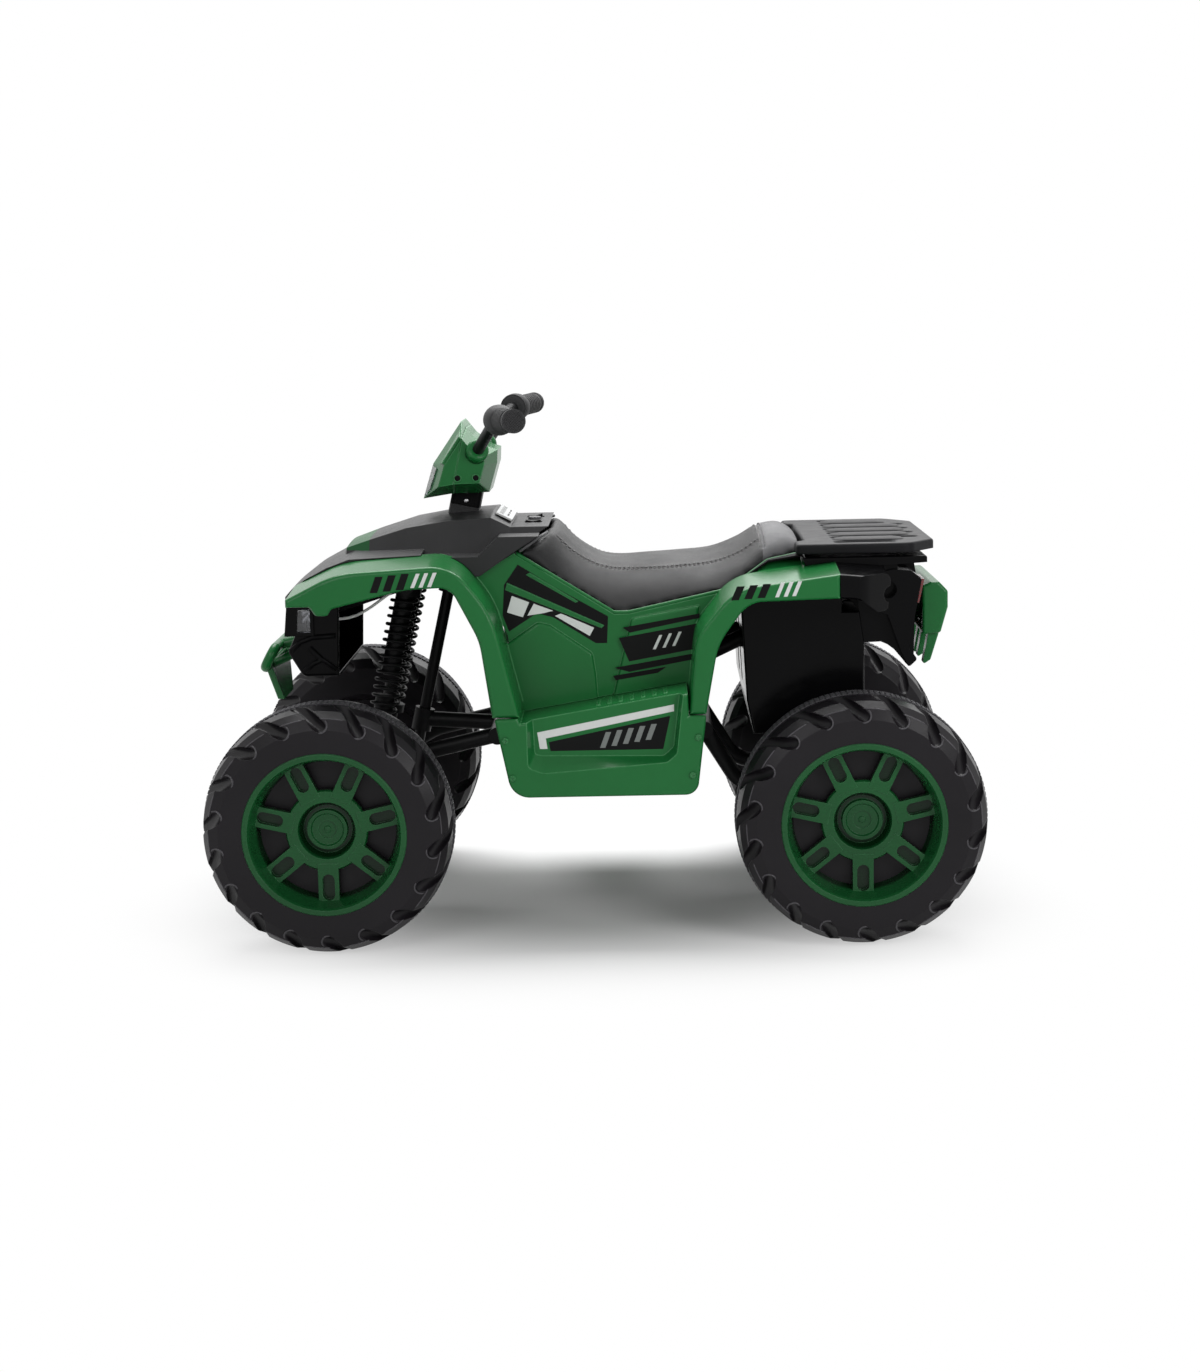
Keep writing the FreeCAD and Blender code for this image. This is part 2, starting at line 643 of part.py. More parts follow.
def seat_wire(x, low, seam, crown, low_half, seam_half):
    left_low = V(x, -low_half, low - 3)
    left_seam = V(x, -seam_half, seam)
    right_seam = V(x, seam_half, seam)
    right_low = V(x, low_half, low - 3)
    out = V(0, -SEAT_BULGE * 0.7, SEAT_BULGE * 0.7)
    left_mid = (left_low + left_seam) / 2 + out
    right_mid = V(x, -left_mid.y, left_mid.z)
    return Part.Wire([Part.Arc(left_low, left_mid, left_seam).toShape(),
                      Part.Arc(left_seam, V(x, 0, crown), right_seam).toShape(),
                      Part.Arc(right_seam, right_mid, right_low).toShape(),
                      Part.LineSegment(right_low, left_low).toShape()])


def seat_floor(lift, depth):
    """Strip along the underside of the seat, as an outline."""
    line = [(fx(262), SEAT_LINE[0][1] - 15 * 0.636)] + SEAT_LINE[1:] + SEAT_REAR[1:]
    upper = [(x, z + lift) for x, z in line]
    lower = [(x, z + lift - depth) for x, z in reversed(line)]
    return upper + lower


def seat_pad():
    pad = Part.makeLoft([seat_wire(*section) for section in SEAT_SECTIONS], True, False)
    under = side_block(seat_floor(SEAT_BASE_T + 2 * SEAT_GAP, 80), -WALL_Y, WALL_Y)
    notch = box(fx(240), fx(291), -SWITCH_BAY_Y, SWITCH_BAY_Y, hz(300), hz(400))
    return pad.cut(under).cut(notch)


def seat_base():
    return side_block(seat_floor(SEAT_BASE_T + SEAT_GAP, SEAT_BASE_T), -SEAT_Y, SEAT_Y)


# Front end
FASCIA = [(fx(-58), hz(292)), (fx(-54), hz(236), 8), (fx(-64), hz(214), 6), (fx(-44), hz(180), 10),
          (fx(4), hz(180)), (fx(10), hz(340)), (fx(-20), hz(340))]
LENS_Y0 = 104.0
LENS_Y1 = 150.0


def lens_block(gap):
    outline = [(fx(-66) - gap, hz(238) - gap), (fx(-28) + gap, hz(238) - gap), (fx(-28) + gap, hz(276) + gap),
               (fx(-62) - gap, hz(276) + gap)]
    return side_block(outline, -LENS_Y1 - gap, -LENS_Y0 + gap)


def headlight_lens():
    block = lens_block(0)
    return soften(block, 6, lambda edge: on_plane(edge, 1, -LENS_Y1))


def front_fascia():
    shell = side_block(FASCIA, -FASCIA_Y, FASCIA_Y)
    shell = soften(shell, 4, lambda edge: on_plane(edge, 1, -FASCIA_Y) or on_plane(edge, 1, FASCIA_Y))
    inner = [(fx(-54), hz(288)), (fx(-50), hz(237)), (fx(-60), hz(214)), (fx(-42), hz(184)), (fx(60), hz(184)),
             (fx(60), hz(345)), (fx(-16), hz(345))]
    shell = shell.cut(side_block(inner, -FASCIA_Y + BODY_WALL, FASCIA_Y - BODY_WALL))
    shell = shell.cut(both_sides(lens_block(SEAT_GAP)))
    slots = []
    for index in range(4):
        z = hz(246 + 9 * index)
        slots.append(box(fx(-70), fx(-45), -70, 70, z, z + 4.5))
    shell = shell.cut(slots)
    skirt = moved(nose_plate(), 0, 0, -SEAT_GAP)
    above = side_block([(fx(-90), hz(284)), (fx(-64), hz(284)), (fx(-34), hz(313)), (fx(-3), hz(329)),
                        (fx(60), hz(340)), (fx(60), hz(420)), (fx(-90), hz(420))], -FASCIA_Y - 5, FASCIA_Y + 5)
    return largest(shell.cut(skirt).cut(above))


def largest(shape):
    return max(shape.Solids, key=lambda solid: solid.Volume)


BUMPER_Y = 112.0
HOOP_R = 7.0
HOOP_BEND = 12.0


def front_bumper():
    """Green hoop with a tapered skid plate and two stays."""
    low = V(fx(-102), 0, hz(188))
    high = V(fx(-88), 0, hz(214))
    path = [(low, 0)]
    for point, y in ((low, -BUMPER_Y), (high, -BUMPER_Y), (high, BUMPER_Y), (low, BUMPER_Y)):
        path.append((V(point.x, y, point.z), HOOP_BEND))
    path.append((low, 0))
    hoop = bent_rod(path, HOOP_R)
    skid = Part.makeLoft([front_wire(fx(-106), 86, hz(190)), front_wire(fx(-96), 44, hz(134))], True, True)
    stays = []
    for y in (-60, 60):
        top = V(fx(-86), y, hz(214))
        stays.append(rod(top, V(fx(-62), y, hz(219)), HOOP_R))
        stays.append(rod(V(fx(-100), y, hz(186)), V(fx(-56), y, hz(206)), 6))
    solid = join([hoop, skid] + stays)
    return largest(solid.cut(moved(side_block(FASCIA, -FASCIA_Y, FASCIA_Y), -SEAT_GAP, 0, 0)))


def front_wire(x, half, z):
    """Small rectangle across the front, for the skid plate."""
    return run_wire([(V(x, -half, z), 0), (V(x + 9, -half, z), 0), (V(x + 9, half, z), 0), (V(x, half, z), 0)],
                    True)


# Frame
def tube(corners):
    return bent_rod(corners, TUBE_R)


def tube_core(corners):
    return bent_rod(corners, TUBE_R - TUBE_WALL)


def hollow_frame(paths, extra, holes):
    """Tubes welded into one piece with their bores left open to each other."""
    outer = join([tube(path) for path in paths] + extra)
    return outer.cut([tube_core(path) for path in paths] + holes)


OUTRIGGER_Z = hz(33) + BODY_WALL + SEAT_GAP
OUTRIGGERS = (fx(294), rx(-254))
RAIL_FOOT = RAIL_Z + TUBE_R + 0.2


def main_frame():
    paths = []
    for y in (-RAIL_Y, RAIL_Y):
        paths.append([(V(PIVOT_X_FRONT, y, PIVOT_Z_FRONT), 0), (V(fx(245), y, RAIL_Z), 40),
                      (V(rx(-214), y, RAIL_Z), 30), (V(PIVOT_X_REAR, y, PIVOT_Z_REAR), 0)])
    low_bush = along_column((PIVOT_Z_FRONT + 8 - STEER_Z) / RAKE_COS)
    neck = [(V(PIVOT_X_FRONT, 0, PIVOT_Z_FRONT), 0), (low_bush, 0)]
    paths.append(neck)
    extra = [cross_rod(PIVOT_X_FRONT, PIVOT_Z_FRONT, -PIVOT_HALF, PIVOT_HALF, TUBE_R + 1),
             cross_rod(PIVOT_X_REAR, PIVOT_Z_REAR, -PIVOT_HALF, PIVOT_HALF, TUBE_R + 1),
             rod(low_bush - STEER_UP * 16, low_bush + STEER_UP * 16, COLUMN_R + 6)]
    for x in OUTRIGGERS:
        half = OUTRIGGER_W / 2
        extra.append(box(x - half, x + half, -FOOT_Y + 12, FOOT_Y - 12, OUTRIGGER_Z, OUTRIGGER_Z + OUTRIGGER_T))
        for y in (-RAIL_Y, RAIL_Y):
            extra.append(box(x - 12, x + 12, y - 3, y + 3, OUTRIGGER_Z + 2, RAIL_Z))
    holes = [cross_rod(PIVOT_X_FRONT, PIVOT_Z_FRONT, -80, 80, PIVOT_R + FIT_GAP),
             cross_rod(PIVOT_X_REAR, PIVOT_Z_REAR, -80, 80, PIVOT_R + FIT_GAP),
             rod(low_bush - STEER_UP * 40, low_bush + STEER_UP * 40, COLUMN_R + FIT_GAP)]
    return hollow_frame(paths, extra, holes)


TOWER_Z = hz(297)
TOWER_X = fx(93)
HEAD = along_column((TOWER_Z - STEER_Z) / RAKE_COS)
UPRIGHT_X = fx(274)


def spring_axis(z):
    """Point on the front spring's axis at a height."""
    base = V(fx(31), -SPRING_Y, hz(25))
    return base + STEER_UP * ((z - base.z) / RAKE_COS)


def front_tower():
    paths = []
    for y in (-RAIL_Y, RAIL_Y):
        paths.append([(V(TOWER_X, y, TOWER_Z), 0), (V(UPRIGHT_X, y, TOWER_Z), 45),
                      (V(UPRIGHT_X, y, RAIL_FOOT), 0)])
        paths.append([(V(TOWER_X, y, TOWER_Z), 0), (V(fx(-20), y, hz(262)), 40), (V(fx(-49), y, hz(228)), 0)])
    top = TOWER_Z
    seat = spring_axis(top)
    extra = [cross_rod(seat.x, top, -SPRING_Y - 30, SPRING_Y + 30, TUBE_R + 2),
             rod(HEAD - STEER_UP * 22, HEAD + STEER_UP * 22, COLUMN_R + 6),
             box(HEAD.x - 14, HEAD.x + 14, -RAIL_Y, RAIL_Y, TOWER_Z - 3, TOWER_Z + 3)]
    for y in (-1, 1):
        under = V(seat.x, y * SPRING_Y, top)
        extra.append(rod(under, under - STEER_UP * 17, SPRING_R + SPRING_WIRE_R + 1))
        extra.append(rod(under, under - STEER_UP * DAMPER_L, SPRING_R - SPRING_WIRE_R - 2))
    holes = [rod(HEAD - STEER_UP * 40, HEAD + STEER_UP * 40, COLUMN_R + FIT_GAP)]
    frame = hollow_frame(paths, extra, holes)
    return largest(frame.cut(box(fx(-90), fx(-50), -100, 100, hz(150), hz(300))))


REAR_LEG_X = rx(-228)
REAR_BAR_X = rx(46)
REAR_BAR_Z = hz(287)
REAR_TOP_X = rx(-64)
REAR_TOP_Z = hz(246)


def rear_axis(z):
    """Point on the rear spring's axis, which leans forward like the damper mount."""
    base = V(rx(-52), -SPRING_Y, hz(12))
    lean = (REAR_TOP_X - base.x) / (REAR_TOP_Z - base.z)
    return V(base.x + lean * (z - base.z), -SPRING_Y, z)


def rear_frame():
    paths = []
    for y in (-RAIL_Y, RAIL_Y):
        paths.append([(V(REAR_LEG_X, y, RAIL_FOOT), 0), (V(REAR_LEG_X, y, hz(170)), 50),
                      (V(REAR_TOP_X, y, REAR_TOP_Z), 60), (V(REAR_BAR_X, y, REAR_BAR_Z), 0)])
    top = V(REAR_TOP_X, 0, REAR_TOP_Z)
    extra = [cross_rod(top.x, top.z, -SPRING_Y - 30, SPRING_Y + 30, TUBE_R),
             cross_rod(REAR_BAR_X, REAR_BAR_Z, -TAIL_Y + 30, TAIL_Y - 30, TUBE_R)]
    axis = (rear_axis(REAR_TOP_Z) - rear_axis(hz(12))).normalize()
    for side in (-1, 1):
        under = V(top.x, side * SPRING_Y, top.z)
        extra.append(rod(under, under - axis * REAR_CUP, SPRING_R + SPRING_WIRE_R + 1))
        extra.append(rod(under, under - axis * (REAR_CUP + 30), SPRING_R - SPRING_WIRE_R - 2))
    return hollow_frame(paths, extra, [])


REAR_CUP = 62.0


# Springs
def arc_mid(start, end, heading):
    """Middle point of the arc that leaves start along heading and ends at end."""
    chord = end - start
    along = chord.normalize()
    across = (heading - along * heading.dot(along)).normalize()
    length = start.distanceToPoint(end)
    turn = heading.getAngle(along)
    return (start + end) / 2 + across * (length / 2 * math.tan(turn / 2))


def biarc(p0, t0, p1, t1):
    chord = p1 - p0
    both = t0 + t1
    spread = 2 * (1 - t0.dot(t1))
    reach = (-chord.dot(both) + math.sqrt(chord.dot(both) ** 2 + spread * chord.dot(chord))) / spread
    joint = (p0 + t0 * reach + p1 - t1 * reach) / 2
    end_heading = t1 * -1
    first = Part.Arc(p0, arc_mid(p0, joint, t0), joint)
    second = Part.Arc(joint, arc_mid(p1, joint, end_heading), p1)
    return [first.toShape(), second.toShape()]


def coil_spring(low, high, curls):
    """Helical wire between two points on its axis, with short straight ends."""
    axis = (high - low).normalize()
    side = V(0, 1, 0)
    other = axis.cross(side)
    length = low.distanceToPoint(high)
    rise = (length - 2 * SPRING_WIRE_R) / curls
    points = []
    headings = []
    steps = curls * 4
    slope = rise / (2 * math.pi * SPRING_R)
    for step in range(steps + 1):
        angle = math.pi / 2 * step
        out = side * math.cos(angle) + other * math.sin(angle)
        round_way = other * math.cos(angle) - side * math.sin(angle)
        points.append(low + axis * (SPRING_WIRE_R + rise * step / 4) + out * SPRING_R)
        headings.append((round_way + axis * slope).normalize())
    tail = 2 * SPRING_WIRE_R
    edges = [Part.LineSegment(points[0] - headings[0] * tail, points[0]).toShape()]
    for step in range(steps):
        edges.extend(biarc(points[step], headings[step], points[step + 1], headings[step + 1]))
    edges.append(Part.LineSegment(points[-1], points[-1] + headings[-1] * tail).toShape())
    start = points[0] - headings[0] * tail
    circle = Part.Wire(Part.makeCircle(SPRING_WIRE_R, start, headings[0]))
    path = Part.Wire(edges)
    print("spring of %d curls: least gap to itself %.2f mm" % (curls, least_gap(path)))
    return path.makePipeShell([circle], True, False)


def least_gap(path):
    """Least clear distance of a coiled wire to itself, measured between points half a turn or more apart."""
    spacing = SPRING_R / 4
    points = path.discretize(Distance=spacing)
    apart = int(math.pi * SPRING_R / spacing)
    least = path.Length
    for index, point in enumerate(points):
        for other in points[index + apart:index + 4 * apart]:
            least = min(least, point.distanceToPoint(other))
    return least - 2 * SPRING_WIRE_R


# Swing arms
ARM_FRONT = [(PIVOT_X_FRONT, PIVOT_Z_FRONT, 0), (fx(112), hz(64), 70), (FRONT_X, HUB_Z, 0)]
ARM_REAR = [(PIVOT_X_REAR, PIVOT_Z_REAR, 0), (rx(-150), hz(10), 45), (REAR_X, HUB_Z, 0)]
CROSS_FRONT = spring_axis(hz(25))
CROSS_REAR = rear_axis(hz(12))
FRONT_SPRING_LOW = hz(108)
REAR_SPRING_LOW = hz(62)


def swing_arm(path, pivot_x, pivot_z, cross, axis, stud_top, extra, holes):
    paths = []
    for y in (-ARM_Y, ARM_Y):
        paths.append([(V(x, y, z), radius) for x, z, radius in path])
    solids = list(extra)
    for side in (-1, 1):
        solids.append(cross_rod(pivot_x, pivot_z, side * (PIVOT_HALF + SWING_GAP), side * (ARM_Y + 16),
                                TUBE_R + 1))
        base = V(cross.x, side * SPRING_Y, cross.z)
        tip = V(stud_top.x, side * SPRING_Y, stud_top.z)
        solids.append(rod(base, tip, SPRING_R - SPRING_WIRE_R - 2))
        solids.append(rod(tip + axis * 2, tip + axis * 2 - axis * 12, SPRING_R + SPRING_WIRE_R + 1))
        solids.append(rod(tip, tip + axis * 32, SPRING_R - SPRING_WIRE_R - 2))
    solids.append(cross_rod(pivot_x, pivot_z, -ARM_Y, ARM_Y, PIVOT_R))
    solids.append(cross_rod(cross.x, cross.z, -ARM_Y, ARM_Y, TUBE_R - 2))
    return join([tube(path) for path in paths] + solids).cut(holes)


def front_swing_arm():
    """Front arm: two bent tubes, the axle beam and the kingpin sleeves."""
    extra = [cross_rod(FRONT_X, HUB_Z, -KINGPIN_Y, KINGPIN_Y, BEAM_R)]
    holes = []
    for y in (-KINGPIN_Y, KINGPIN_Y):
        extra.append(rod(along_kingpin(-SLEEVE_H / 2, 0, y), along_kingpin(SLEEVE_H / 2, 0, y), SLEEVE_R))
        holes.append(rod(along_kingpin(-SLEEVE_H, 0, y), along_kingpin(SLEEVE_H, 0, y), KINGPIN_R + 0.05))
    low = spring_axis(FRONT_SPRING_LOW)
    return swing_arm(ARM_FRONT, PIVOT_X_FRONT, PIVOT_Z_FRONT, CROSS_FRONT, STEER_UP, low, extra, holes)


def rear_swing_arm():
    """Rear arm: two bent tubes with sleeves for the axle."""
    extra = []
    for side in (-1, 1):
        extra.append(cross_rod(REAR_X, HUB_Z, side * 78, side * (GEARBOX_IN - SEAT_GAP), TUBE_R + 2))
    holes = [cross_rod(REAR_X, HUB_Z, -GEARBOX_OUT, GEARBOX_OUT, AXLE_R + 0.05)]
    low = rear_axis(REAR_SPRING_LOW)
    axis = (rear_axis(REAR_TOP_Z) - rear_axis(hz(12))).normalize()
    return swing_arm(ARM_REAR, PIVOT_X_REAR, PIVOT_Z_REAR, CROSS_REAR, axis, low, extra, holes)


def front_springs():
    low = spring_axis(FRONT_SPRING_LOW) + STEER_UP * 2.9
    high = spring_axis(TOWER_Z) - STEER_UP * 17.9
    left = coil_spring(low, high, FRONT_CURLS)
    return Part.makeCompound(both_sides(left))


def rear_springs():
    axis = (rear_axis(REAR_TOP_Z) - rear_axis(hz(12))).normalize()
    low = rear_axis(REAR_SPRING_LOW) + axis * 2.9
    high = rear_axis(REAR_TOP_Z) - axis * (REAR_CUP + 0.9)
    left = coil_spring(low, high, REAR_CURLS)
    return Part.makeCompound(both_sides(left))


# Front steering gear
KNUCKLE_U = SLEEVE_H / 2 + SWING_GAP
TIE_TOP = -KNUCKLE_U - KNUCKLE_T - SWING_GAP


def kingpin(y):
    low = -KNUCKLE_U - KNUCKLE_T
    high = KNUCKLE_U + KNUCKLE_T + SWING_GAP
    shank = rod(along_kingpin(low, 0, y), along_kingpin(high + 1, 0, y), KINGPIN_R)
    head = rod(along_kingpin(high, 0, y), along_kingpin(high + 6, 0, y), KINGPIN_R + 4)
    return shank.fuse(head)


def column_plate(base, outline, u0, u1):
    """Plate square to the steering axis: outline as (back, y, corner radius), between two heights."""
    corners = []
    for corner in outline:
        corners.append((base(u0, corner[0], corner[1]), radius_of(corner)))
    return Part.Face(run_wire(corners, True)).extrude(STEER_UP * (u1 - u0))


def knuckle(side):
    """Fork round the kingpin sleeve with the stub axle and the steering arm."""
    y = side * KINGPIN_Y
    out = side * (KINGPIN_Y + SLEEVE_R + 7)
    near = side * (KINGPIN_Y - SLEEVE_R - 2)
    ear = [(-15, near, 6), (15, near, 6), (15, out), (-15, out)]
    arm = [(-15, near, 6), (CRANK + 12, near, 8), (CRANK + 12, side * (KINGPIN_Y + 12), 8), (15, out), (-15, out)]
    top = column_plate(along_kingpin, ear, KNUCKLE_U, KNUCKLE_U + KNUCKLE_T)
    low = column_plate(along_kingpin, arm, -KNUCKLE_U - KNUCKLE_T, -KNUCKLE_U)
    web = [(-15, out), (15, out), (15, out - side * 6), (-15, out - side * 6)]
    wall = column_plate(along_kingpin, web, -KNUCKLE_U, KNUCKLE_U)
    stub = cross_rod(FRONT_X, HUB_Z, out - side * 2, side * (WHEEL_Y + NUT_SEAT + 10), AXLE_R)
    collar = cross_rod(FRONT_X, HUB_Z, out - side * 1, side * (WHEEL_Y - HUB_REACH_IN - SWING_GAP), AXLE_R + 5)
    nut = cross_rod(FRONT_X, HUB_Z, side * (WHEEL_Y + NUT_SEAT + SWING_GAP),
                    side * (WHEEL_Y + NUT_SEAT + 8), AXLE_R + 5)
    holes = [rod(along_kingpin(-60, 0, y), along_kingpin(60, 0, y), KINGPIN_R + FIT_GAP),
             rod(along_kingpin(-60, CRANK, y), along_kingpin(-20, CRANK, y), TIE_PIN_R + FIT_GAP)]
    return join([top, low, wall, stub, collar, nut]).cut(holes)


COLUMN_BACK = STEER_BACK.dot(V(STEER_X, 0, STEER_Z) - V(FRONT_X, 0, HUB_Z))
COLUMN_UP = STEER_UP.dot(V(STEER_X, 0, STEER_Z) - V(FRONT_X, 0, HUB_Z))


def tie_bar():
    """T-shaped bar between the two steering arms, with the slot that the crank pin works in."""
    reach = KINGPIN_Y + 10
    half = TIE_W / 2
    pin_back = COLUMN_BACK + CRANK
    bar = [(CRANK - half, -reach, 8), (CRANK + half, -reach, 8), (CRANK + half, -26, 10), (pin_back + 30, -17, 8),
           (pin_back + 30, 17, 8), (CRANK + half, 26, 10), (CRANK + half, reach, 8), (CRANK - half, reach, 8)]
    plate = column_plate(along_kingpin, bar, TIE_TOP - TIE_T, TIE_TOP)
    slot_r = CRANK_PIN_R + 0.4
    slot = [(pin_back - 24, -slot_r), (pin_back + 20, -slot_r), (pin_back + 20, slot_r), (pin_back - 24, slot_r)]
    plate = plate.cut(column_plate(along_kingpin, slot, TIE_TOP - TIE_T - 1, TIE_TOP + 1))
    pins = []
    for y in (-KINGPIN_Y, KINGPIN_Y):
        pins.append(rod(along_kingpin(TIE_TOP - 1, CRANK, y), along_kingpin(-KNUCKLE_U + 1, CRANK, y), TIE_PIN_R))
    return join([plate] + pins)


def steering_column():
    """Raked rod with its thrust collar, the clamp for the bar and the crank at its foot."""
    crank_top = TIE_TOP - COLUMN_UP + 22
    foot = crank_top - 8
    shaft = rod(along_column(foot), along_column(BAR_UP), COLUMN_R)
    head_top = STEER_UP.dot(HEAD - V(STEER_X, 0, STEER_Z)) + 22
    collar = rod(along_column(head_top + 0.2), along_column(head_top + 9), COLUMN_R + 6)
    outline = [(-13, -13, 8), (CRANK + 10, -10, 8), (CRANK + 10, 10, 8), (-13, 13, 8)]
    arm = column_plate(along_column, outline, foot, crank_top)
    pin = rod(along_column(crank_top - 2, CRANK), along_column(TIE_TOP - COLUMN_UP - TIE_T - 14, CRANK),
              CRANK_PIN_R)
    clamp_low = BAR_UP - 16
    clamp = column_plate(along_column, [(-17, -22, 4), (17, -22, 4), (17, 22, 4), (-17, 22, 4)], clamp_low,
                         BAR_UP + 14)
    column = join([shaft, collar, arm, pin, clamp])
    return column.cut(cross_rod(BAR_CENTRE.x, BAR_CENTRE.z, -60, 60, BAR_R + 0.05))


BAR_UP = 63.6
BAR_CENTRE = along_column(BAR_UP)
BAR_KNEE = V(BAR_CENTRE.x, -66, BAR_CENTRE.z)
BAR_TURN = 34.0
BAR_WALL = 2.0
BAR_BEND = V(fx(229), -182, hz(523))
BAR_END = V(fx(258), -300, hz(526))


def bar_path(left_points):
    """Path of the bar from its left points, given from the outside in, and their mirror images."""
    points = left_points + [V(point.x, -point.y, point.z) for point in reversed(left_points)]
    return [(point, BAR_TURN) for point in points]


def handlebar():
    path = bar_path([BAR_END, BAR_BEND, BAR_KNEE])
    return bent_rod(path, BAR_R).cut(bent_rod(path, BAR_R - BAR_WALL))


def grip():
    """Rubber sleeve with an inner flange, a closed end and ribs."""
    way = (BAR_END - BAR_BEND).normalize()
    end = BAR_END + way * 4
    start = end - way * GRIP_L
    parts = [rod(start, end, GRIP_R - 1), rod(start, start + way * 6, GRIP_R + 4), rod(end - way * 7, end, GRIP_R)]
    ribs = int((GRIP_L - 24) / 8)
    for index in range(ribs):
        place = start + way * (10 + 8 * index)
        parts.append(rod(place, place + way * 4.5, GRIP_R))
    return join(parts).cut(rod(start - way * 5, BAR_END + way * SEAT_GAP, BAR_R + 0.1))


COVER = [(fx(118), hz(411)), (fx(133), hz(459)), (fx(173), hz(516)), (fx(188), hz(497)), (fx(210), hz(480)),
         (fx(222), hz(476)), (fx(221), hz(458)), (fx(209), hz(418)), (fx(158), hz(417))]
COVER_SPLIT = [(fx(60), hz(380)), (fx(152), hz(380)), (fx(186), hz(540)), (fx(60), hz(540))]
COVER_Y = 92.0
COVER_CORE_Y = 46.0
COVER_TAPER = 0.62
SLEEVE = [(-21, -23, 8), (21, -23, 8), (21, 23, 8), (-21, 23, 8)]
SLEEVE_LOW = -2.5


def cover_block(inset):
    """Faceted handlebar cover, full in the middle and drawn in towards its ends."""
    centre_x = sum(corner[0] for corner in COVER) / len(COVER)
    centre_z = sum(corner[1] for corner in COVER) / len(COVER)

    def scaled(share, y):
        outline = [(centre_x + (x - centre_x) * share, centre_z + (z - centre_z) * share) for x, z in COVER]
        return side_wire(outline, y)

    full = 1.0 - inset / 42.0
    drawn = COVER_TAPER - inset / 42.0
    wires = [scaled(drawn, -COVER_Y + inset), scaled(full, -COVER_CORE_Y), scaled(full, COVER_CORE_Y),
             scaled(drawn, COVER_Y - inset)]
    return Part.makeLoft(wires, True, True)


def bar_covers():
    """Front and rear halves of the handlebar cover."""
    shell = cover_block(0).cut(cover_block(COVER_WALL))
    bar = bent_rod(bar_path([BAR_BEND, BAR_KNEE]), BAR_R + SEAT_GAP)
    column = column_plate(along_column, [(-24, -25), (24, -25), (24, 25), (-24, 25)], -20, BAR_UP - 10)
    shell = shell.cut([bar, column])
    split = side_block(COVER_SPLIT, -COVER_Y - 5, COVER_Y + 5)
    return largest(shell.common(split)), largest(shell.cut(moved(split, 0.3, 0, 0)))


def column_cover():
    """Black sleeve round the column between the hood and the bar cover."""
    high = BAR_UP - 16 - SEAT_GAP
    sleeve = column_plate(along_column, SLEEVE, SLEEVE_LOW, high)
    return sleeve.cut(rod(along_column(-30), along_column(90), COLUMN_R + 0.05))


# Rear end
RACK_Z = hz(337)
RACK_END = rx(112)
TAIL_TOP = RACK_Z - 5.0


def rear_rack():
    """Slatted luggage deck with clipped rear corners and rounded slats, on four feet."""
    clip = RACK_Y - 51
    outline = [(rx(-75), -RACK_Y, 10), (rx(76), -RACK_Y, 20), (RACK_END, -clip, 12), (RACK_END, clip, 12),
               (rx(76), RACK_Y, 20), (rx(-75), RACK_Y, 10), (rx(-75), 136, 4), (rx(-62), 122, 8),
               (rx(-62), -122, 8), (rx(-75), -136, 4)]
    deck = plan_block(outline, RACK_Z, RACK_Z + RACK_T)
    slots = []
    pitch = 2 * (RACK_Y - 30) / (RACK_SLOTS - 1)
    for index in range(RACK_SLOTS):
        y = -RACK_Y + 30 + pitch * index
        half = RACK_SLOT_W / 2
        end = RACK_END - 18 if abs(y) < 110 else rx(58)
        slots.append(plan_block([(rx(-22), y - half, 6), (end, y - half, 6), (end, y + half, 6),
                                 (rx(-22), y + half, 6)], RACK_Z - 1, RACK_Z + RACK_T + 1))
    slatted = soften(deck.cut(slots), 4, lambda edge: on_plane(edge, 2, RACK_Z + RACK_T))
    feet = []
    for x in (rx(-48), rx(60)):
        for y in (-120, 120):
            feet.append(Part.makeCylinder(9, RACK_Z - TAIL_TOP - SEAT_GAP + 1, V(x, y, TAIL_TOP + SEAT_GAP)))
    return join([slatted] + feet)


TAIL_HORN = [(rx(20), hz(306)), (rx(53), hz(314)), (rx(77), hz(312), 4), (rx(91), hz(301), 6), (rx(84), hz(263)),
             (rx(73), hz(210)), (rx(85), hz(193), 4), (rx(73), hz(182), 3), (rx(63), hz(204)), (rx(46), hz(253)),
             (rx(25), hz(261)), (rx(7), hz(277)), (rx(-10), hz(282))]
TAIL_END = [(rx(-26), hz(286.5)), (rx(2), hz(285), 30), (rx(26), hz(264), 10), (rx(40), hz(264), 5),
            (rx(46), hz(312), 12), (rx(-26), hz(318.5))]
TAIL_CORE = [(rx(24), hz(310)), (rx(88), hz(318)), (rx(91), hz(301)), (rx(84), hz(263)), (rx(60), hz(258)),
             (rx(46), hz(262))]
TAIL_SHELF = [(rx(-62), hz(314)), (rx(98), TAIL_TOP - 9), (rx(98), TAIL_TOP), (rx(-66), TAIL_TOP)]


